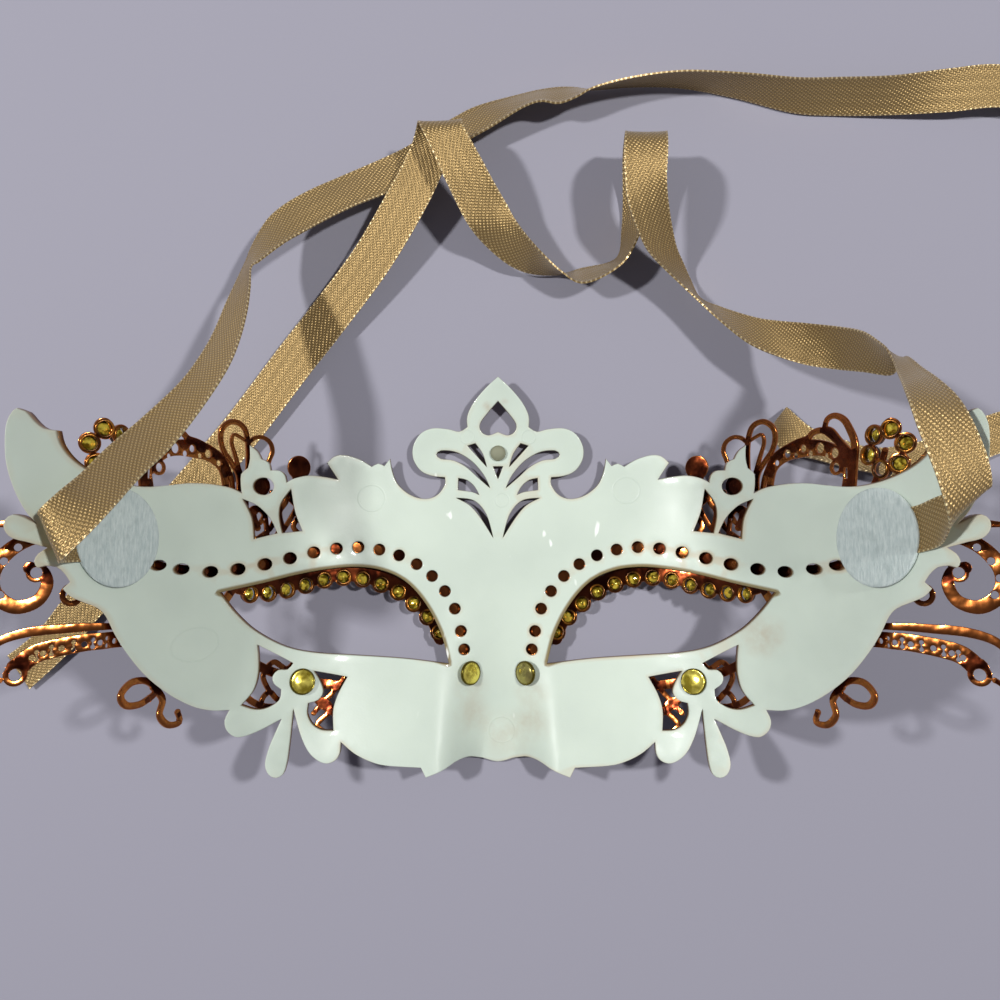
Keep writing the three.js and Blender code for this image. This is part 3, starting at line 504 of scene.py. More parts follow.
def metalTop(x, y):
    near = min(abs(x), metalSize["creaseAt"])
    flare = metalSize["flareSlope"] * (abs(x) - near)
    depth = (shellSize["thickness"] + metalSize["gap"]) * stretch(near)
    return shellSize["browHeight"] + riseAcross(near) - depth + flare + bendDown(y) - noseDrop(x, y)


def normalOf(height, x, y):
    step = 0.4
    alongX = (height(x + step, y) - height(x - step, y)) / (2 * step)
    alongY = (height(x, y + step) - height(x, y - step)) / (2 * step)
    return Vector((-alongX, -alongY, 1)).normalized()


# Lines and sheets drawn flat


# A smooth step from p1 to p2, on its way from p0 and to p3
def between(p0, p1, p2, p3, t):
    v0, v1 = (p2 - p0) / 2, (p3 - p1) / 2
    c2 = 3 * (p2 - p1) - 2 * v0 - v1
    return p1 + v0 * t + c2 * t * t + (v0 + v1 - 2 * (p2 - p1)) * t ** 3


# A smooth line through the points, sampled about every step
def smoothLine(points, step):
    last = len(points) - 1
    line = []
    for i in range(last):
        p0, p1 = points[max(i - 1, 0)], points[i]
        p2, p3 = points[i + 1], points[min(i + 2, last)]
        count = max(1, round((p2 - p1).length / step))
        line += [between(p0, p1, p2, p3, k / count) for k in range(count)]
    return line + [points[last].copy()]


# The point at a share of the whole way along a drawn curve, counted by its control points
def curvePoint(points, share):
    last = len(points) - 1
    i = min(int(share * last), last - 1)
    p0, p1 = Vector(points[max(i - 1, 0)]), Vector(points[i])
    p2, p3 = Vector(points[i + 1]), Vector(points[min(i + 2, last)])
    return between(p0, p1, p2, p3, share * last - i)


# A closed outline; a point with a third number is a corner, the others are passed smoothly
def outline(points, step=0.7):
    marks = sorted({0} | {i for i, point in enumerate(points) if len(point) == 3})
    line = []
    for start, end in zip(marks, marks[1:] + [len(points)]):
        run = [Vector(points[i % len(points)][:2]) for i in range(start, end + 1)]
        line += smoothLine(run, step)[:-1]
    return line


def circle(x, y, radius, sides=20):
    turns = (2 * math.pi * (i + 0.5) / sides for i in range(sides))
    return [Vector((x + radius * math.cos(turn), y + radius * math.sin(turn))) for turn in turns]


def flipped(line):
    return [Vector((-point.x, point.y)) for point in line]


def counterClockwise(line):
    area = sum(a.cross(b) for a, b in zip(line, line[1:] + line[:1]))
    return line if area > 0 else line[::-1]


# Finds the nearest of the points
def treeOf(points):
    tree = kdtree.KDTree(len(points))
    for i, point in enumerate(points):
        tree.insert(point.to_3d(), i)
    tree.balance()
    return tree


# Triangles over all the plates less the holes, with loose points kept inside for an even net
def flatSheet(plates, holes, loose=()):
    points, loops = [], []
    for line in plates + holes:
        loops.append(list(range(len(points), len(points) + len(line))))
        points += counterClockwise(line)
    made = geometry.delaunay_2d_cdt(points + list(loose), [], loops, 1, 0.01, True)
    return made[0], [tuple(triangle) for triangle, owners in zip(made[2], made[5])
                     if owners and max(owners) < len(plates)]


# Thickens a flat sheet. place(u, y, depth) gives the point at a share of the thickness, 0 on the
# wearer's side. The edges are rounded by the size's rim, and two attributes tell how deep a point lies
# and how far it is from the sheet's edge.
def thickSheet(name, points, triangles, place, size, material):
    thickness, rim = size["thickness"], size["rim"]
    ends = {}
    halves = {(t[k], t[(k + 1) % 3]) for t in triangles for k in range(3)}
    border = sorted(edge for edge in halves if edge[::-1] not in halves)
    for a, b in border:
        ahead = (points[b] - points[a]).normalized()
        for end in (a, b):
            ends.setdefault(end, Vector((0, 0)))
            ends[end] += Vector((-ahead.y, ahead.x))
    tree = treeOf([points[end] for end in ends])
    inset = {}
    # The inner end of each rounded edge, held back at sharp corners
    for end, inward in ends.items():
        span = max(inward.length, 1e-6)
        inset[end] = points[end] + inward / span * (rim / max(span / 2, 0.6))
    verts, layers, edges = [], [], []

    def put(at, layer, fromEdge):
        verts.append(spot(*at))
        layers.append(layer)
        edges.append(fromEdge)
        return len(verts) - 1

    front, back, rows = {}, {}, {}
    share = rim / thickness
    used = sorted({i for t in triangles for i in t})
    for i in used:
        x, y = points[i]
        if i not in ends:
            away = tree.find(points[i].to_3d())[2]
            back[i] = put(place(x, y, 0), 0, away)
            front[i] = put(place(x, y, 1), 1, away)
            continue
        column = []
        for depth, level in ((0, share), (1, 1 - share)):
            inside, corner, wall = place(*inset[i], depth), place(x, y, depth), place(x, y, level)
            arc = []
            for k in range(4):
                t = k / 3
                bent = inside * (1 - t) ** 2 + corner * 2 * t * (1 - t) + wall * t * t
                arc.append(put(bent, depth + (level - depth) * t, rim * (1 - t)))
            column += arc if depth == 0 else arc[::-1]
        rows[i] = column
        back[i], front[i] = column[0], column[-1]
    faces = [tuple(back[i] for i in t) for t in triangles]
    faces += [tuple(front[i] for i in reversed(t)) for t in triangles]
    for a, b in border:
        for k in range(len(rows[a]) - 1):
            faces.append((rows[b][k], rows[a][k], rows[a][k + 1], rows[b][k + 1]))
    piece = meshPiece(name, verts, faces, material)
    setAttribute(piece, "layer", layers)
    setAttribute(piece, "fromEdge", edges)
    return piece


print("sheet helpers")

# Outline of the plastic shell, from the crown's tip down the +X side to the chin of the nose

shellHalf = [
    (0, 30.2, 1), (3, 27.5), (6, 24), (7.6, 20.7), (7.6, 18, 1),
    (9.6, 16.9), (12.3, 17.5), (16.2, 17.7), (19.2, 16.3), (21, 13.2), (20.9, 9.9), (19, 7.1),
    (16.2, 5.9), (13.2, 5.6, 1), (13.2, 3.8), (15, 1.3), (17.8, 0.3), (21.3, 1.1), (24.5, 3.6),
    (26, 6.8), (26.6, 10.2, 1), (28, 8.4, 1), (29.5, 9), (31, 8.2, 1), (34, 10), (37.5, 11),
    (39.8, 10.6), (41.5, 9, 1), (39, 5, 1), (42, 5.6), (45.5, 5.9), (48.5, 5.2), (50.2, 4.2, 1),
    (50.5, 5.8), (51.5, 6.9), (53.4, 7, 1), (53.8, 8.8), (55.2, 9.6, 1), (56, 11.4),
    (57.4, 12.7, 1), (57.4, 9.6), (57.8, 7.4, 1), (59, 6), (59.1, 3.4), (58.9, 1.6, 1),
    (60.9, 2.8), (64.4, 3.6), (67.6, 3.7), (70.5, 3.2), (73.3, 2.8), (75.8, 3.1), (78.5, 4.3),
    (81, 6.2), (82.7, 8.4), (83.7, 10.9), (84, 13.3, 1),
    (85.3, 13.5), (86.2, 14.6), (87.1, 16.4), (88, 16.9), (88.8, 15.4), (89.3, 12.5), (89.3, 7),
    (88.5, 2), (87.3, -2), (86.1, -4.4, 1),
    (87.3, -3.2), (88.5, -2.6), (89.3, -3.6), (89.3, -5.4), (88.5, -7), (87, -7.8), (84.9, -9, 1),
    (85.8, -10), (86.2, -11.4), (85.8, -12.7), (85, -12.4, 1), (83.8, -12.8), (82.9, -14.2),
    (82.3, -15.8, 1), (83.1, -16.9, 1),
    (82.2, -18.6), (80.7, -20), (79.1, -21.4), (78.1, -23.2), (76.9, -27.2), (75.4, -31.2),
    (73.3, -35.7), (71, -39.4), (68.5, -42.5), (65.6, -45.1), (62.8, -46.5), (60.1, -47, 1),
    (60.8, -49), (60.4, -51.2), (58.9, -53), (57, -53.3), (54, -52.5), (50.2, -50.8, 1),
    (51.4, -53.8), (52.5, -57), (53, -60.2), (52.2, -62.5), (50.7, -63.5), (49.3, -63),
    (48.6, -60.5), (48.2, -55.8), (47.8, -48.9, 1),
    (47.2, -51.2), (46, -55.2), (44.3, -58.8), (42.2, -61), (40.1, -61.9), (38.2, -61.3),
    (37.3, -59.7), (37.2, -57.4, 1),
    (34, -60.2), (30, -62.3), (26, -63.3), (18.4, -63.9, 1), (17.2, -66.1, 1),
    (13, -64.6), (10, -63.3), (7.2, -63), (4, -64), (0, -65),
]
heartHalf = [(0, 24.3, 1), (2.4, 21.6), (4.4, 18.8), (4.1, 16.9), (2.4, 16), (0, 16.8, 1)]
crownTriangle = [(1.2, 8.3, 1), (0, 5.2, 1), (-1.2, 8.3, 1)]
sideHoles = [
    # the eye
    [(62.4, -20.8, 1), (55, -19.4), (48, -17.8), (42, -16.8), (35, -16.3), (28.5, -17.2),
     (22.7, -20), (17.8, -25.4), (14, -32.6), (12, -40, 1), (21.5, -38.7), (35, -37.4),
     (43.7, -36.3), (50, -34.3), (55.8, -30.2), (59.6, -25.6)],
    # the crown's fan
    [(7.5, 13.4, 1), (5.6, 14, 1), (3.8, 11.4), (2.8, 8.2, 1)],
    [(2, 3, 1), (5, 5.6), (7.9, 8.2), (11, 9.8), (14.1, 10.2), (15.2, 11.2), (14.1, 12.2),
     (10.3, 11.8), (6.4, 9.5), (3.5, 6.1)],
    [(9.8, 5.4, 1), (9.9, 2.5, 1), (6.4, 2), (4.7, 1.3, 1), (5.9, 3.4), (7.7, 4.9)],
    [(10.3, 0.5, 1), (7, -1.3), (4.3, -4.4), (1.2, -9.3, 1), (2.9, -3.6), (5.9, -0.2)],
    # beside the finial's stem
    [(58.7, 0.2, 1), (57, -4.2), (56.5, -9, 1), (52, -7.8, 1), (53.5, -4.3), (55.9, -1.4)],
    [(49.3, 2.6, 1), (51.3, -0.6), (51.7, -3.8), (51, -7.8, 1), (46.8, -7.4, 1), (48.4, -2.8)],
    # beside the cheek rivet
    [(55.4, -33.4, 1), (48.2, -38.4, 1), (49.3, -39.7), (51.2, -39.6), (52.3, -40.9),
     (52, -42.6), (50.5, -44.1, 1), (50.8, -46.4), (53, -47.8), (55.4, -47.8),
     (58, -46.4, 1), (55.9, -43.6), (55.1, -40), (55.1, -36.6)],
    [(43.7, -40.6, 1), (36.2, -42.5, 1), (38.2, -46.3), (39.2, -50), (39, -54.6, 1),
     (41.6, -54.2), (43.6, -52.8), (44.8, -50.4), (44.7, -47.9, 1), (42.6, -47.4),
     (41.5, -45.6), (42.3, -43)],
]
finialHole = (54.8, 3.2, 2)
# The row of round holes over each eye, from the temple to the nose, with smaller ones at its start
browHoles = {
    "line": [(71.7, -13.8), (64, -16), (54.3, -15), (44.2, -12.6), (34.1, -11.5), (24.3, -13.6),
             (16.2, -18.7), (10.6, -26.7), (8.3, -36.7)],
    "count": 17, "radius": 1.4, "firstRadius": 1.1, "growOver": 4,
}
rivetPlaces = {"crown": (0, 11.6), "nose": (7.2, -42.4), "cheek": (46.2, -42.8)}


def mirroredOutline(half):
    other = [(-point[0],) + tuple(point[1:]) for point in half[-2:0:-1]]
    return outline(list(half) + other)


def shellPlace(x, y, depth):
    return Vector((x, y, shellTop(x, y) * (1 - depth) + shellBottom(x, y) * depth))


shellLine = mirroredOutline(shellHalf)
shellHoles = [mirroredOutline(heartHalf), outline(crownTriangle)]
oneSide = [outline(points) for points in sideHoles] + [circle(*finialHole, 28)]
for i in range(browHoles["count"]):
    radius = browHoles["radius"] - (browHoles["radius"] - browHoles["firstRadius"]) * max(
        0, 1 - i / browHoles["growOver"])
    oneSide.append(circle(*curvePoint(browHoles["line"], i / (browHoles["count"] - 1)), radius))
shellHoles += oneSide + [flipped(line) for line in oneSide]

# An even net of points inside the shell, clear of its rims
netSize = {"step": 1.9, "clear": 0.9, "rows": range(-36, 20), "columns": range(-50, 51)}
rimTree = treeOf([point for line in [shellLine] + shellHoles for point in line])
net = []
for row in netSize["rows"]:
    for column in netSize["columns"]:
        point = Vector(((column + 0.5 * (row % 2)) * netSize["step"], row * netSize["step"] * 0.866))
        if rimTree.find(point.to_3d())[2] > netSize["clear"]:
            net.append(point)

# Polystyrene, injection moulded: milky pale green on the wearer's side, with the copper paint of the
# front sprayed round its cut edges in a thin ragged line
plastic, plasticShader = newMaterial("pale moulded plastic")
plasticMarks = {
    "sprayFrom": 0.285, "sprayFull": 0.545,
    # faint rings left by the mould's ejector pins, [x, y, radius] in mm
    "pins": [(-31, 0.5, 3.2), (31.5, 2.4, 3.2), (1, 0, 1.7), (1, -57, 3.2), (-7.6, 15.6, 1.7),
             (7.6, 15.6, 1.7), (-66, -31.5, 3.6)],
    # brown smudges by the right eye's corner and at the heart's tip, and brown patches down the nose below the
    # rivets that are partly stain and partly painted shade on the nose's sides, [x, y, reach, share]
    "stainsAndShade": [(59.5, -30.5, 6, 0.5), (-2.6, 23, 1.6, 0.7), (1.6, 24, 1.3, 0.5), (-6.5, -46, 5, 0.3),
                (-6, -53, 5.5, 0.36), (8.3, -47, 5, 0.3), (8.2, -54, 5.5, 0.36), (2, -58.5, 8, 0.26)],
    # short painted highlights, glints streaked like fine scratches, round the middle of the face
    "glintsAt": (2, -20), "glintsReach": 42, "glintsFull": 25,
}
where = node(plastic, "TexCoord", out="Object")
layer, fromEdge, fromBrow = (node(plastic, "Attribute", out="Fac", attribute_name=name)
                             for name in ("layer", "fromEdge", "fromBrow"))
cloud = mottle(plastic, 22.2)
ragged = node(plastic, "Math", {0: mottle(plastic, 1.11, 4), 1: 0.25, 2: layer}, operation="MULTIPLY_ADD")
sprayTint = blend(plastic, ragged, 0.325, 0.825, "#b08a5a", "#5a3320")
milk = blend(plastic, cloud, 0.35, 0.7, "#bcc8bd", "#c5d1c5")
haze = node(plastic, "Math", {0: node(plastic, "MapRange", {0: fromEdge, 1: 0.9, 2: 0}),
                              1: node(plastic, "MapRange", {0: cloud, 1: 0.45, 2: 0.72})},
            operation="MULTIPLY")
colour = blend(plastic, haze, 0, 1, milk, "#b98d55", 0.55)
colour = blend(plastic, fromEdge, 0.22, 0.04, colour, "#6b5236", 0.75)
# Over the eyes the spray has crept onto the wearer's side
colour = blend(plastic, fromBrow, 1.0, 0.55, colour, "#756438", 0.9)

# How far a point is from a place on the face, seen flat
flatWhere = node(plastic, "VectorMath", {0: where, 1: (1, 1, 0)}, operation="MULTIPLY")


def farFrom(x, y):
    return node(plastic, "VectorMath", {0: flatWhere, 1: spot(x, y, 0)}, "Value", operation="DISTANCE")


rings = 0.0
for x, y, radius in plasticMarks["pins"]:
    off = node(plastic, "Math", {0: farFrom(x, y), 1: radius * mm}, operation="SUBTRACT")
    off = node(plastic, "Math", {0: off}, operation="ABSOLUTE")
    ring = node(plastic, "MapRange", {0: off, 1: 0.26 * mm, 2: 0.08 * mm})
    rings = node(plastic, "Math", {0: ring, 1: rings}, operation="ADD")
colour = blend(plastic, rings, 0, 1, colour, "#8fa294", 0.08)
patchy = node(plastic, "MapRange", {0: mottle(plastic, 3.85, 5, 0.6), 1: 0.3, 2: 0.66})
# Brown stains; the patches down the nose are painted shade as well
for x, y, reach, share in plasticMarks["stainsAndShade"]:
    near = node(plastic, "MapRange", {0: farFrom(x, y), 1: reach * mm, 2: 0})
    near = node(plastic, "Math", {0: near, 1: patchy}, operation="MULTIPLY")
    colour = blend(plastic, near, 0, 1, colour, "#a4815f", share)
# Dark specks in the plastic, one to about 13 mm
specks = node(plastic, "TexVoronoi", {"Vector": where, "Scale": 1 / (13.3 * mm)})
colour = blend(plastic, specks, 0.024, 0.014, colour, "#4a382a")
# Painted highlights: glint streaks 2 to 6 mm long
slanted = node(plastic, "Mapping", {"Vector": where, "Rotation": (0, 0, 0.5), "Scale": (1, 0.4, 1)})
glintStreaks = node(plastic, "TexNoise", {"Vector": slanted, "Scale": 1 / (2.38 * mm), "Detail": 1})
glintShare = node(plastic, "Math", {
    0: node(plastic, "MapRange", {0: glintStreaks, 1: 0.74, 2: 0.8}),
    1: node(plastic, "MapRange", {0: farFrom(*plasticMarks["glintsAt"]), 1: plasticMarks["glintsReach"] * mm,
                                  2: plasticMarks["glintsFull"] * mm})}, operation="MULTIPLY")
colour = blend(plastic, glintShare, 0, 1, colour, "#f4f8f4", 0.8)
# Soft swells, the pins' dents and a fine moulded skin
relief = None
for height, strength, distance in ((mottle(plastic, 14.3, 2), 0.5, 0.6), (rings, 0.35, 0.1),
                                   (mottle(plastic, 0.625, 2), 0.12, 0.1)):
    under = {"Normal": relief} if relief else {}
    relief = node(plastic, "Bump", {"Height": height, "Strength": strength, "Distance": distance * mm,
                                    **under})
feed(plastic, plasticShader, {
    "Base Color": blend(plastic, ragged, plasticMarks["sprayFrom"], plasticMarks["sprayFull"], colour,
                        sprayTint),
    "Metallic": node(plastic, "MapRange", {0: ragged, 1: plasticMarks["sprayFrom"],
                                           2: plasticMarks["sprayFull"], 4: 0.55}),
    "Roughness": 0.4, "Specular IOR Level": 0.35, "Coat Weight": 0.22, "Coat Roughness": 0.07,
    "Subsurface Weight": 0.12, "Subsurface Scale": 0.001, "Subsurface Radius": (1, 1, 0.8),
    "Normal": relief,
})

points, triangles = flatSheet([shellLine], shellHoles, net)
shell = thickSheet("mask_shell", points, triangles, shellPlace, shellSize, plastic)
eyeTop = outline(sideHoles[0][:10])[:-1]
eyeTopTree = treeOf(eyeTop + flipped(eyeTop))
setAttribute(shell, "fromBrow", [
    eyeTopTree.find(Vector((v.co.x / mm, v.co.y / mm - middleY, 0)))[2] for v in shell.data.vertices])
rides(shell, "white_plastic", "mask_base")
print("shell", len(shell.data.polygons))

# The metal sheet, drawn flat as it is cut and then wrapped onto the shell.
# Its first coordinate runs along the sheet from the middle of the mask.

wrapStep = 0.5
wrapTable = [0]
for i in range(250):
    x = wrapStep * (i + 0.5)
    slope = metalSize["flareSlope"] if x > metalSize["creaseAt"] else slopeAcross(x)
    wrapTable.append(wrapTable[-1] + wrapStep * math.hypot(1, slope))


def wrappedX(along):
    after = next(i for i, length in enumerate(wrapTable) if length > abs(along))
    before = wrapTable[after - 1]
    x = wrapStep * (after - 1 + (abs(along) - before) / (wrapTable[after] - before))
    return math.copysign(x, along)


# The length along the sheet that lies over x
def alongAt(x):
    i = int(x / wrapStep)
    return wrapTable[i] + (wrapTable[i + 1] - wrapTable[i]) * (x / wrapStep - i)


# A strip along a smooth line, with its width at the start, the middle and the end
def strip(points, widths, step=0.6):
    line = smoothLine([Vector(point) for point in points], step)
    left, right = [], []
    for i, here in enumerate(line):
        ahead = (line[min(i + 1, len(line) - 1)] - line[max(i - 1, 0)]).normalized()
        t = i / (len(line) - 1)
        a, b, share = (widths[0], widths[1], 2 * t) if t < 0.5 else (widths[1], widths[2], 2 * t - 1)
        half = (a + (b - a) * share * share * (3 - 2 * share)) / 2
        side = Vector((-ahead.y, ahead.x)) * half
        left.append(here + side)
        right.append(here - side)
    return left + right[::-1]


# The spine lies where one looks through the shell's round holes, a little further out than they are
holeLean = 1.018
spineLine = [rivetPlaces["nose"]]
spineLine += [(alongAt(x * holeLean), y * holeLean) for x, y in reversed(browHoles["line"])]
spineLine += [(92, -8), (104, -6.2)]

even = (1.5, 1.5, 1.5)
lace = (1.15, 1.3, 1.15)
metalStrips = [
    # the spine, behind the row of round holes
    (spineLine, (2.6, 3.9, 2.6)),
    # the brow band that carries the stones
    ([(14.2, -34), (17.3, -27.6), (23.5, -22), (31, -18.8), (39, -17.6), (48, -19.2),
      (57, -20.8), (65, -20.2), (72, -15.5)], (3, 4.4, 2.4)),
    # round the eye's outer corner, along the cheek and back to the nose
    ([(66, -20), (69.5, -26), (66.5, -33), (58, -39), (47.6, -42.8), (37, -45), (27, -46.2),
      (17, -45.6), (7.2, -42.4)], (2, 2.2, 2)),
    # scrolls on the brow
    ([(24, -14), (21.5, -8), (24.5, -2.5), (30, -3.5), (29.5, -8), (26.3, -7.3)], even),
    ([(42, -12), (36, -7.5), (34.5, -1), (39, 3), (43.5, -0.5), (40.5, -4.5)], even),
    ([(52, -14), (47.5, -8), (49.5, -3), (48.5, 2), (49.6, 6)], (1.5, 1.8, 3)),
    ([(66, -15), (58, -11.5), (54, -6.5), (57, -1.5), (61, -3), (60, -6.5)], even),
    # the ring loop and the big curl above the finial
    ([(62.6, 13.2), (60.8, 14.5), (58.6, 14.7), (56.7, 13.5), (56.2, 11.4), (57.2, 9), (58.4, 4),
      (58.6, -3)], (1, 1.1, 1)),
    ([(62, -14), (63.2, 0), (62.7, 7), (62.6, 13), (63.6, 16.8), (66.5, 18), (69.2, 16.6),
      (70, 14.2), (69.2, 11.2), (67, 8.4), (65.2, 5), (65.6, -2)], (1.2, 1.3, 1.2)),
    ([(62.9, 13.6), (64.8, 14.6), (66.4, 15), (67, 13.2), (66, 10), (65, 6.6)], (0.8, 0.9, 1.2)),
    # the arch: its outer rim, a thin one inside that, the pierced band and the plate at its foot
    ([(69, -15), (67, -4), (66.9, 3), (68.6, 8), (70.9, 10.6), (75.8, 12.8), (79, 13.6),
      (80.6, 14.8), (83.2, 15.1), (86, 13.6), (89.3, 10.8), (91.4, 7.6)], (1.6, 1.3, 1.5)),
    ([(77.5, 12.9), (80.5, 12.9), (83.6, 12.5), (86.7, 11.5), (89.4, 9.4)], (0.9, 0.9, 1)),
    ([(68.6, 2), (69.5, 6.9), (71.7, 9.3), (74.7, 10.6), (78, 11.1), (81.4, 11.3), (84.8, 10.8),
      (87.4, 9.4), (89.6, 7)], (1.6, 3.3, 2.8)),
    ([(89.6, -6), (90.4, 2), (91, 9)], (3, 3.4, 2)),
    # the teardrop on the arch's far end
    ([(88, -9), (91, 1), (91.9, 8), (92, 12), (90.4, 15.2), (88.7, 17.2), (86.3, 18.1),
      (84.3, 17.4), (83.7, 15.6)], (3, 1.9, 1.2)),
    ([(83.7, 15.6), (85.8, 15), (88.3, 12.6), (90.8, 10.4)], (1, 1, 1)),
    # the stalk of the stone cluster
    ([(92, -8), (94.6, -1), (97.6, 4), (99.8, 10)], (1.4, 1.6, 1.4)),
    # the band that comes out under the leaf and turns into the C-scroll
    ([(102, -6.2), (110, -6.4), (116.6, -8.6), (120.6, -13), (120.6, -17.6), (117, -20.6),
      (113, -19.8), (111.2, -16.6), (112.2, -13.8), (114.4, -13.2)], (2.4, 3, 2.2)),
    ([(112, -5.6), (117, -4.6), (122.4, -4.8)], (1.8, 1.6, 0.8)),
    # the temple, down to the plume and the bottom curls
    ([(84, -12.5), (80, -19), (83, -26), (89, -28.8), (95, -28.5), (99.5, -28.3), (104, -28.4),
      (110, -29.2), (113.4, -30.2), (115.9, -32.4)], (1.8, 3.2, 3.7)),
    ([(93, -27.4), (97.5, -25.8), (101.6, -25.4), (107.7, -25.4), (114.6, -25.7), (119.8, -27.4),
      (123, -31.6), (121.6, -35.4), (118.8, -34.4)], (1.2, 1.9, 1)),
    ([(92, -8), (97, -13), (105.2, -18)], (1.6, 1.4, 1.2)),
    ([(84, -28), (84.6, -34), (87, -39.4)], (1.8, 1.8, 1.6)),
    ([(86.4, -39.6), (89.4, -37.8), (93, -37.7), (95.4, -39.8), (94, -42), (90.6, -42.4),
      (88, -41.6)], (1.4, 1.5, 1.4)),
    ([(88, -41.6), (86.6, -40.8), (86.2, -39.4)], (1.4, 1.4, 1.4)),
    ([(86.6, -39.8), (84.4, -42.5), (85, -45.5), (82.6, -47.9), (79.4, -47.9), (80.1, -45.7)],
     (1.6, 1.5, 1.2)),
    # lace behind the finial's openings
    ([(49.6, 6), (51.6, 1.9), (50, -1.4), (51.7, -4.8), (53.8, -8)], lace),
    ([(53.4, 4.4), (52.6, 0), (54.3, -2.9), (53.3, -7)], lace),
    ([(57.4, -8.6), (58.3, -3.3), (61.2, -1.9), (62.2, -4.2), (59.8, -5.6), (58.3, -3.8)], lace),
    ([(51.5, 0), (49, -2.9), (50.7, -6.4), (48, -9)], lace),
    ([(60, -9), (56.4, -6.4), (54.8, -1.6), (56.4, 1.8)], lace),
    # lace round the cheek rivet
    ([(48.6, -36.8), (51.6, -39.8), (55.1, -38), (57.6, -40.8), (56, -44.4)], lace),
    ([(50, -44), (53.2, -46.8), (55.9, -44.7), (57.8, -46.9), (55.4, -50)], lace),
    ([(37.6, -43), (39.9, -45.9), (42.3, -47.8), (45.3, -46.2), (43.4, -43.6)], lace),
    ([(36.4, -50), (40.4, -50.6), (43.6, -53.4), (41, -55.6)], lace),
    ([(44.6, -50.6), (41.6, -48.4), (39.4, -51.6)], lace),
    # scrolls on the cheek
    ([(47.6, -43), (42, -49.5), (34, -53), (27.5, -51), (29.5, -47.6), (33, -49)], even),
    ([(47.6, -43), (53, -48), (60, -46.5), (65.5, -40), (62.5, -35.5), (59.5, -38.5)], even),
]
# Discs, rings and holes, [x, y, radius]; a ring's last number is its hole's radius
metalDiscs = {"petal": (49.4, 7.8, 2.9), "finial": 2.5, "rivet": 3.2}
metalRings = [
    (106.6, -18.8, 2.3, 1.2),  # below the band's end
    (116.2, -33.6, 2.2, 1.15),  # at the plume's end
    (113.2, -14.2, 1.9, 1.1),  # at the C-scroll's end
    (87.2, 7, 1.7, 0.95),  # at the arch's foot
]
metalHoles = {
    "arch": [(70.7, 8.4, 0.65), (73.6, 10.4, 0.9), (75.9, 9.9, 0.6), (78, 11.4, 0.8), (80, 10.2, 0.7),
             (82.7, 11.3, 1.1), (84.5, 9.5, 0.6), (86.8, 10.1, 1.05)],
    "archSlot": [(89.9, 6.8), (90, 4.6)], "archSlotWidths": (0.7, 0.8, 0.7),
    "band": [(110.6, -6.5), (113.6, -7.4), (116.6, -9.2), (119, -11.8), (120.4, -15), (119.4, -18.2)],
    "bandRadius": 0.75,
    # round holes in turn with pairs joined by a slot
    "plume": [(94.6, -28.7), (99.5, -28.6), (104, -28.7), (110, -29.5), (113.4, -30.6)],
    "plumeCount": 13, "plumeRadius": 0.58, "pairRadius": 0.45, "pairApart": 0.72,
    "pairSlotWidths": (0.4, 0.3, 0.4),
}

# Stones: a row along the brow, and a ring of six cups beside the wing, one of them empty
cup = {"radius": 2.2, "hole": 1.42}
stoneRow = {
    "count": 12,
    "line": [(14.5, -32.6), (17.6, -28.5), (21.4, -25), (25.1, -22.3), (29.6, -20.4), (34, -19.2),
             (38.9, -18.8), (43.2, -19.4), (47.7, -20.5), (52, -21.3), (56.8, -21.8), (61.5, -21.8)],
}
cluster = {"at": (99.8, 10.4), "radius": 4.2, "firstTurn": 15, "cups": 6, "emptyCup": 4}

# The brow's cups stand at equal lengths along their line
fineBrow = smoothLine([Vector(point) for point in stoneRow["line"]], 0.05)
browWay = [0]
for a, b in zip(fineBrow, fineBrow[1:]):
    browWay.append(browWay[-1] + (b - a).length)
cups = []
for i in range(stoneRow["count"]):
    goal = browWay[-1] * i / (stoneRow["count"] - 1)
    cups.append(fineBrow[min(range(len(browWay)), key=lambda k: abs(browWay[k] - goal))])
for i in range(cluster["cups"]):
    turn = math.radians(cluster["firstTurn"] + 360 * i / cluster["cups"])
    cups.append(Vector(cluster["at"]) + Vector((math.cos(turn), math.sin(turn))) * cluster["radius"])


# Where a rivet that starts square to the shell passes the metal sheet
def inFrontOf(place):
    axis = normalOf(shellTop, *place)
    depth = shellSize["thickness"] + metalSize["gap"] + metalSize["thickness"] / 2
    return place[0] - depth * axis.x, place[1] - depth * axis.y


def metalPlace(side):
    def place(along, y, depth):
        x = wrappedX(along)
        at = Vector((x, y, metalTop(x, y))) - normalOf(metalTop, x, y) * metalSize["thickness"] * depth
        return Vector((side * at.x, at.y, at.z))
    return place


plates = []
for points, widths in metalStrips:
    plates.append(strip(points, widths))
    # A bead rounds each loose end
    for end, width in ((points[0], widths[0]), (points[-1], widths[2])):
        plates.append(circle(*end, width * metalSize["bead"], 16))
plates.append(circle(*metalDiscs["petal"], 28))
plates += [circle(x, y, radius, 24) for x, y, radius, hole in metalRings]
plates.append(circle(alongAt(finialHole[0] * holeLean), finialHole[1] * holeLean, metalDiscs["finial"], 24))
for key in ("nose", "cheek"):
    x, y = inFrontOf(rivetPlaces[key])
    plates.append(circle(alongAt(x), y, metalDiscs["rivet"], 28))
cuts = [circle(x, y, hole, 20) for x, y, radius, hole in metalRings]
cuts += [circle(*hole, 16) for hole in metalHoles["arch"]]
cuts.append(strip(metalHoles["archSlot"], metalHoles["archSlotWidths"]))
for at in cups:
    plates.append(circle(*at, cup["radius"], 26))
    cuts.append(circle(*at, cup["hole"], 22))
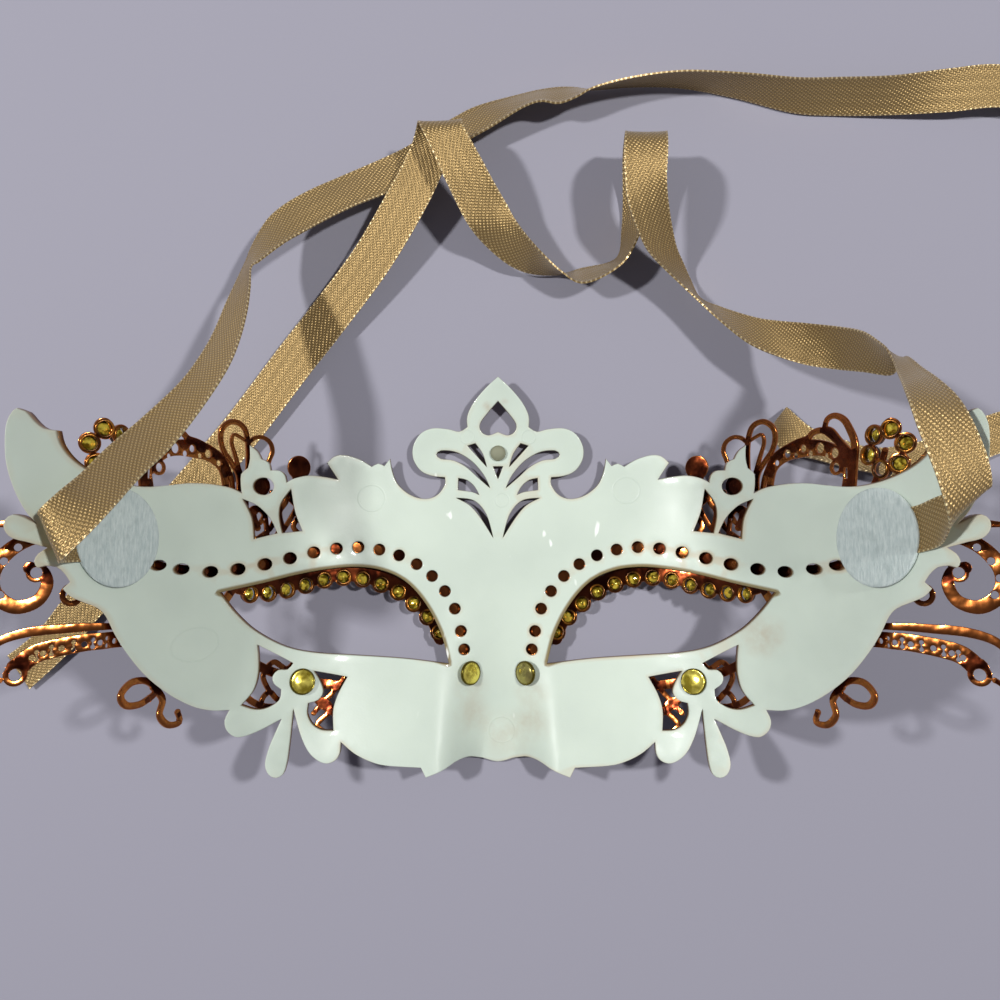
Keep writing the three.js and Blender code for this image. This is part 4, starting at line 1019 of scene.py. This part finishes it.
for i in range(metalHoles["plumeCount"]):
    hole = curvePoint(metalHoles["plume"], i / (metalHoles["plumeCount"] - 1))
    if i % 2 == 0:
        cuts.append(circle(*hole, metalHoles["plumeRadius"], 12))
        continue
    ends = [(hole.x, hole.y + lift) for lift in (metalHoles["pairApart"], -metalHoles["pairApart"])]
    cuts += [circle(*end, metalHoles["pairRadius"], 10) for end in ends]
    cuts.append(strip(ends, metalHoles["pairSlotWidths"]))
cuts += [circle(*hole, metalHoles["bandRadius"], 14) for hole in metalHoles["band"]]

# Cut brass sheet, copper plated under a thin red-brown lacquer, nearly black where it mirrors shade; a
# painted highlight brightens its cut edges
copper, copperShader = newMaterial("lacquered copper plate")
fromRim = node(copper, "Attribute", out="Fac", attribute_name="fromEdge")
lacquer = blend(copper, mottle(copper, 4.76, 4), 0.4, 0.64, "#391409", "#70351b")
feed(copper, copperShader, {
    # a painted highlight along the cut edges
    "Base Color": blend(copper, fromRim, 0.2, 0.04, lacquer, "#c4773c"),
    "Metallic": 1, "Roughness": 0.15, "Coat Weight": 0.12, "Coat Roughness": 0.06,
    "Normal": node(copper, "Bump", {"Height": mottle(copper, 4.35, 2), "Strength": 0.32,
                                    "Distance": 0.6 * mm}),
})

points, triangles = flatSheet(plates, cuts)
for side, name in ((1, "right"), (-1, "left")):
    sheet = thickSheet(f"copper_filigree_{name}", points, triangles, metalPlace(side), metalSize, copper)
    if side < 0:
        sheet.data.flip_normals()
    rides(sheet, "copper_sheet", f"filigree_{name}")
print("metal", len(sheet.data.polygons))

# Stones, rivets, cup rims and pads, each modelled once lying flat and then set square to its sheet


# A body of rings: a circle is extruded ring by ring, each step a lift in mm and a change of scale.
# A closed body starts with a face, an open one is bridged back to its first ring.
def turned(name, sides, radius, steps, closed=True):
    extrude = bpy.ops.mesh.extrude_region_move if closed else bpy.ops.mesh.extrude_edges_move
    bpy.ops.object.select_all(action="DESELECT")
    bpy.ops.mesh.primitive_circle_add(vertices=sides, radius=radius * mm, location=(0, 0, 0),
                                      fill_type="NGON" if closed else "NOTHING")
    piece = bpy.context.active_object
    piece.name = name
    bpy.ops.object.mode_set(mode="EDIT")
    bpy.ops.mesh.select_mode(type="FACE" if closed else "EDGE")
    bpy.ops.mesh.select_all(action="SELECT")
    for lift, grow in steps:
        extrude(TRANSFORM_OT_translate={"value": (0, 0, lift * mm)})
        bpy.ops.transform.resize(value=(grow, grow, 1), center_override=(0, 0, 0))
    if not closed:
        bpy.ops.mesh.select_all(action="DESELECT")
        bpy.ops.mesh.select_mode(type="EDGE")
        bpy.ops.mesh.select_non_manifold(extend=False)
        bpy.ops.mesh.bridge_edge_loops()
    bpy.ops.mesh.select_mode(type="VERT")
    bpy.ops.mesh.select_all(action="SELECT")
    bpy.ops.mesh.remove_doubles(threshold=0.02 * mm)
    bpy.ops.mesh.normals_make_consistent(inside=False)
    bpy.ops.object.mode_set(mode="OBJECT")
    return piece


# Square to the shell or the metal at a place, with its height counted from there
def seat(height, x, y):
    turn = Vector((0, 0, 1)).rotation_difference(normalOf(height, x, y)).to_matrix().to_4x4()
    return Matrix.Translation(spot(x, y, height(x, y))) @ turn


def mirroredSeat(matrix):
    flip = Matrix.Diagonal((-1, 1, 1, 1))
    return flip @ matrix @ flip


# A copy with its own mesh, its place inside the mesh
def placed(master, name, matrix, turn=0.0):
    piece = addObject(name, master.data.copy())
    piece.data.name = name
    piece.data.transform(matrix @ Matrix.Rotation(turn, 4, "Z"))
    return piece


def smoothed(piece, angle):
    piece.data.shade_smooth()
    piece.data.set_sharp_from_angle(angle=math.radians(angle))


# Pressed glass, foiled and painted gold behind: the paint on the pointed back is what shows from here;
# its mottle from dark olive to bright yellow, about a millimetre across, is painted glints
foil, foilShader = newMaterial("gold foiled glass")
feed(foil, foilShader, {
    # painted glints: the gold mottled from dark olive to bright yellow
    "Base Color": blend(foil, mottle(foil, 1.11, 2), 0.41, 0.57, "#7c6a18", "#fdea5c"),
    "Metallic": 0.55, "Roughness": 0.16, "Coat Weight": 0.5, "Coat Roughness": 0.05,
    "Normal": node(foil, "Bump", {"Height": mottle(foil, 0.667, 2), "Strength": 0.5,
                                  "Distance": 0.2 * mm}),
})

stone = {"sides": 9, "table": 1.15, "front": -2.85, "crown": 0.8, "girdle": 1.52, "belt": 0.1,
         "pavilion": 0.75, "shoulder": 0.72, "culet": 0.5}
stoneMaster = turned("stone", stone["sides"], stone["table"], [
    (stone["crown"], stone["girdle"]), (stone["belt"], 1.0), (stone["pavilion"], stone["shoulder"]),
    (stone["culet"], 0.04)])
stoneMaster.data.materials.append(foil)
stoneMaster.data.transform(Matrix.Translation((0, 0, stone["front"] * mm)))

# Copper plate like the sheet's, pressed into cups: gone olive and dark in the hollows
aged, agedShader = newMaterial("olive aged copper plate")
feed(aged, agedShader, {
    "Base Color": blend(aged, mottle(aged, 2.38), 0.44, 0.62, "#3d230c", "#96601f"),
    "Metallic": 0.8, "Roughness": 0.24,
})

# The rolled rim of each stone's cup
cupRim = {"sides": 24, "inner": 1.78, "front": -1.9,
          "steps": [(1.2, 0.86), (0.75, 0.93), (0.1, 1.1), (0, 1.12), (-0.14, 1.1), (-0.8, 1.06),
                    (-0.7, 1.0)]}
rimMaster = turned("cup rim", cupRim["sides"], cupRim["inner"], cupRim["steps"], closed=False)
rimMaster.data.transform(Matrix.Translation((0, 0, cupRim["front"] * mm)))
rimMaster.data.materials.append(aged)
smoothed(rimMaster, 60)

for side, name in ((1, "right"), (-1, "left")):
    rims = []
    for i, at in enumerate(cups):
        place = seat(metalTop, wrappedX(at.x), at.y)
        if side < 0:
            place = mirroredSeat(place)
        rims.append(placed(rimMaster, f"cup_rim_{name}_{i + 1}", place))
        inCluster = i - stoneRow["count"]
        if inCluster == cluster["emptyCup"]:
            continue
        if inCluster < 0:
            nodeName = f"brow_stone_{name}_{i + 1:02d}"
        else:
            nodeName = f"cluster_stone_{name}_{inCluster + 1 - (inCluster > cluster['emptyCup'])}"
        turn = random.Random(40 * i + side).uniform(0, 6.28)
        rides(placed(stoneMaster, f"foiled_{nodeName}", place, turn), "gold_glass", nodeName)
    bpy.ops.object.select_all(action="DESELECT")
    for rim in rims:
        rim.select_set(True)
    bpy.context.view_layer.objects.active = rims[0]
    bpy.ops.object.join()
    rims[0].name = f"cup_rims_{name}"
    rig.ride(rims[0], "root")
    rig.slot(rims[0], "copper_sheet")
print("stones and cups")

# Brass, turned and polished: its colour holds a painted reflection, bright and dark patches that follow the
# wavy surface, and painted shade on the dark edge; the right nose rivet is tarnished
brass, brassShader = newMaterial("polished brass")
farOut, dulled = (node(brass, "Attribute", out="Fac", attribute_name=name)
                  for name in ("fromMiddle", "tarnish"))
wave = mottle(brass, 3.03, 2)
# Painted reflection: the wave that bumps the surface also lightens and darkens its colour
paintedSheenAndTarnish = blend(brass, wave, 0.42, 0.6, "#a5942c", "#fdec70")
paintedSheenAndTarnish = blend(brass, dulled, 0, 1, paintedSheenAndTarnish, "#8a8458")
feed(brass, brassShader, {
    # painted shade on the head's outer edge
    "Base Color": blend(brass, farOut, 0.8, 0.9, paintedSheenAndTarnish, "#5d5212"),
    "Metallic": 0.75, "Roughness": 0.2,
    "Normal": node(brass, "Bump", {"Height": wave, "Strength": 0.6, "Distance": 0.4 * mm}),
})

# Steel, nickel plated and dulled by wear: nearly matt
plated, platedShader = newMaterial("nickel plated steel")
feed(plated, platedShader, {"Base Color": linear("#82846f"), "Metallic": 0.2, "Roughness": 0.7})

# Each rivet's back head lies on the shell; layers is what its shank passes
sheetStack = shellSize["thickness"] + metalSize["gap"] + metalSize["thickness"]
rivetHeads = {
    "crown": {"radius": 1.9, "front": 1.9, "layers": shellSize["thickness"]},
    "nose": {"radius": 3.0, "front": 2.3, "layers": sheetStack,
             "lean": 19, "lift": 0.7, "tarnish": {"right": 0.8, "left": 0.1}},
    "cheek": {"radius": 3.1, "front": 2.3, "layers": sheetStack},
}
rivetSize = {
    "sides": 32, "shank": 1.2, "seat": 0.05,
    "frontHead": 0.6, "frontEdge": 0.28, "frontSlope": 0.82,
    "backEdge": 0.2, "backSlope": 0.97, "rimHeight": 0.35,
    "dome": [(0.2, 0.93), (-0.06, 0.94), (0.2, 0.86), (0.16, 0.72), (0.1, 0.5)],
}


def rivet(name, head):
    front, radius, shank = head["front"], head["radius"], rivetSize["shank"]
    length = head["layers"] + metalSize["gap"]
    piece = turned(name, rivetSize["sides"], front * rivetSize["frontSlope"], [
        (rivetSize["frontEdge"], 1 / rivetSize["frontSlope"]),
        (rivetSize["frontHead"] - rivetSize["frontEdge"], 1.0), (0, shank / front),
        (length + rivetSize["seat"], 1.0), (0, radius / shank * rivetSize["backSlope"]),
        (rivetSize["backEdge"], 1 / rivetSize["backSlope"]), (rivetSize["rimHeight"], 1.0),
    ] + rivetSize["dome"])
    piece.data.transform(Matrix.Translation((0, 0, -(length + rivetSize["frontHead"]) * mm)))
    setAttribute(piece, "fromMiddle", [
        math.hypot(v.co.x, v.co.y) / (radius * mm) for v in piece.data.vertices])
    return piece


# The heads on the nose's steep sides lean towards its middle, with a dark gap below their outer edges
def lean(piece, place, head, side):
    axis = place.to_3x3().inverted() @ Vector((0, 1, 0))
    turn = Matrix.Rotation(math.radians(-head["lean"] * side), 4, axis)
    turn = Matrix.Translation((0, 0, head["lift"] * mm)) @ turn
    for corner in piece.data.vertices:
        if corner.co.z > 0:
            corner.co = turn @ corner.co


for key, head in rivetHeads.items():
    master = rivet(f"{key} rivet", head)
    master.data.materials.append(plated if key == "crown" else brass)
    smoothed(master, 50)
    rightPlace = seat(shellTop, *rivetPlaces[key])
    if key == "crown":
        rides(placed(master, "plated_rivet_crown", rightPlace), "pale_rivet", "rivet_crown")
    else:
        for side, name in ((1, "right"), (-1, "left")):
            place = rightPlace if side > 0 else mirroredSeat(rightPlace)
            piece = placed(master, f"brass_rivet_{key}_{name}", Matrix())
            if "lean" in head:
                lean(piece, place, head, side)
                setAttribute(piece, "tarnish", [head["tarnish"][name]] * len(piece.data.vertices))
            piece.data.transform(place)
            rides(piece, "gold_rivet", f"rivet_{key}_{name}")
    bpy.data.objects.remove(master)
print("rivets")

# Polyester fleece, needled and brushed: fibres a quarter of a millimetre apart, drawn out sideways
fleece, fleeceShader = newMaterial("brushed polyester fleece")
brushed = node(fleece, "Mapping", {"Vector": node(fleece, "TexCoord", out="Object"),
                                   "Scale": (1, 0.1, 0.1)})
fibres = node(fleece, "TexNoise", {"Vector": brushed, "Scale": 1 / (0.238 * mm), "Detail": 4,
                                   "Roughness": 0.65})
tufts = mottle(fleece, 2.38)
fuzz = node(fleece, "Math", {0: tufts, 1: 0.6, 2: fibres}, operation="MULTIPLY_ADD")
fleeceColour = blend(fleece, fibres, 0.34, 0.66, "#a5b3b2", "#c0cbc8")
feed(fleece, fleeceShader, {
    "Base Color": blend(fleece, tufts, 0.55, 0.72, fleeceColour, "#98a5a3", 0.4),
    "Roughness": 0.95, "Sheen Weight": 0.25, "Sheen Roughness": 0.5,
    "Normal": node(fleece, "Bump", {"Height": fuzz, "Strength": 0.6, "Distance": 0.4 * mm}),
})

# Pads: discs of fleece that hold the ribbons down
padSize = {"at": (77, -7.6), "radius": 10, "sides": 72, "thickness": 0.75, "gap": 0.3, "fill": 0.2,
           "foot": (0.12, 1.006), "edge": [(0.14, 0.985), (0.04, 0.965)],
           "insets": (2.0, 2.4, 2.4), "insetRise": 0.012}
padWall = padSize["thickness"] - padSize["foot"][0] - sum(lift for lift, grow in padSize["edge"])
padMaster = turned("pad", padSize["sides"], padSize["radius"],
                   [padSize["foot"], (padWall, 1.0)] + padSize["edge"])
bpy.ops.object.select_all(action="DESELECT")
padMaster.select_set(True)
bpy.context.view_layer.objects.active = padMaster
bpy.ops.object.mode_set(mode="EDIT")
bpy.ops.mesh.select_mode(type="FACE")
bpy.ops.mesh.select_all(action="DESELECT")
bpy.ops.object.mode_set(mode="OBJECT")
for face in padMaster.data.polygons:
    face.select = face.normal.z > 0.9 and face.area > (5 * mm) ** 2
bpy.ops.object.mode_set(mode="EDIT")
for inset in padSize["insets"]:
    bpy.ops.mesh.inset(thickness=inset * mm, depth=padSize["insetRise"] * mm)
bpy.ops.object.mode_set(mode="OBJECT")
smoothed(padMaster, 60)
padMaster.data.materials.append(fleece)
padPlace = seat(shellTop, *padSize["at"]) @ Matrix.Translation((0, 0, padSize["gap"] * mm))
for side, name in ((1, "right"), (-1, "left")):
    fleecePad = placed(padMaster, f"fleece_pad_{name}", padPlace if side > 0 else mirroredSeat(padPlace))
    rides(fleecePad, "pad_fabric", f"pad_{name}")
    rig.padded(fleecePad, fill=padSize["fill"])
for master in (padMaster, stoneMaster, rimMaster):
    bpy.data.objects.remove(master)
print("pads")

# Floor and light

# Uncoated paper: matt and even
paper, paperShader = newMaterial("pale studio paper")
feed(paper, paperShader, {"Base Color": linear("#908f9c"), "Roughness": 0.9})
floorHalf = 3
floorCorners = [(x * floorHalf, y * floorHalf, 0) for x, y in ((-1, -1), (1, -1), (1, 1), (-1, 1))]
floor = meshPiece("floor", floorCorners, [(0, 1, 2, 3)], paper)
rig.stage(floor)

# The room is darker overhead than round about, so metal that faces up has something dark to mirror
studio = {"overhead": "#8d8896", "around": "#dcdce4", "low": 0.15, "high": 0.75, "strength": 0.4}
world = bpy.data.worlds.new("studio")
bpy.context.scene.world = world
world.use_nodes = True
upward = node(world, "SeparateXYZ", {0: node(world, "TexCoord", out="Generated")}, "Z")
sky = blend(world, upward, studio["low"], studio["high"], studio["around"], studio["overhead"])
feed(world, world.node_tree.nodes["Background"], {"Color": sky, "Strength": studio["strength"]})

lights = {
    "left light": {"at": (-0.6, 0.2, 0.76), "size": 0.06, "power": 7.1, "colour": "#fffefc"},
    "right light": {"at": (0.44, 0.22, 0.84), "size": 0.06, "power": 6.2, "colour": "#fffefb"},
}
aim = Vector((0, 0.02, 0))
for name, light in lights.items():
    lamp = bpy.data.lights.new(name, "AREA")
    lamp.size = light["size"]
    lamp.energy = light["power"]
    lamp.color = linear(light["colour"])[:3]
    softbox = addObject(name, lamp)
    softbox.location = light["at"]
    softbox.rotation_euler = (aim - softbox.location).to_track_quat("-Z", "Y").to_euler()
bpy.context.scene.view_settings.view_transform = "Standard"
bpy.context.scene.view_settings.exposure = 0.0

print("floor and light")

sizeNow = [list(corner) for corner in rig.bounds()]
with open("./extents.json", "w") as out:
    json.dump({"loaded": loadedBox, "now": sizeNow}, out)
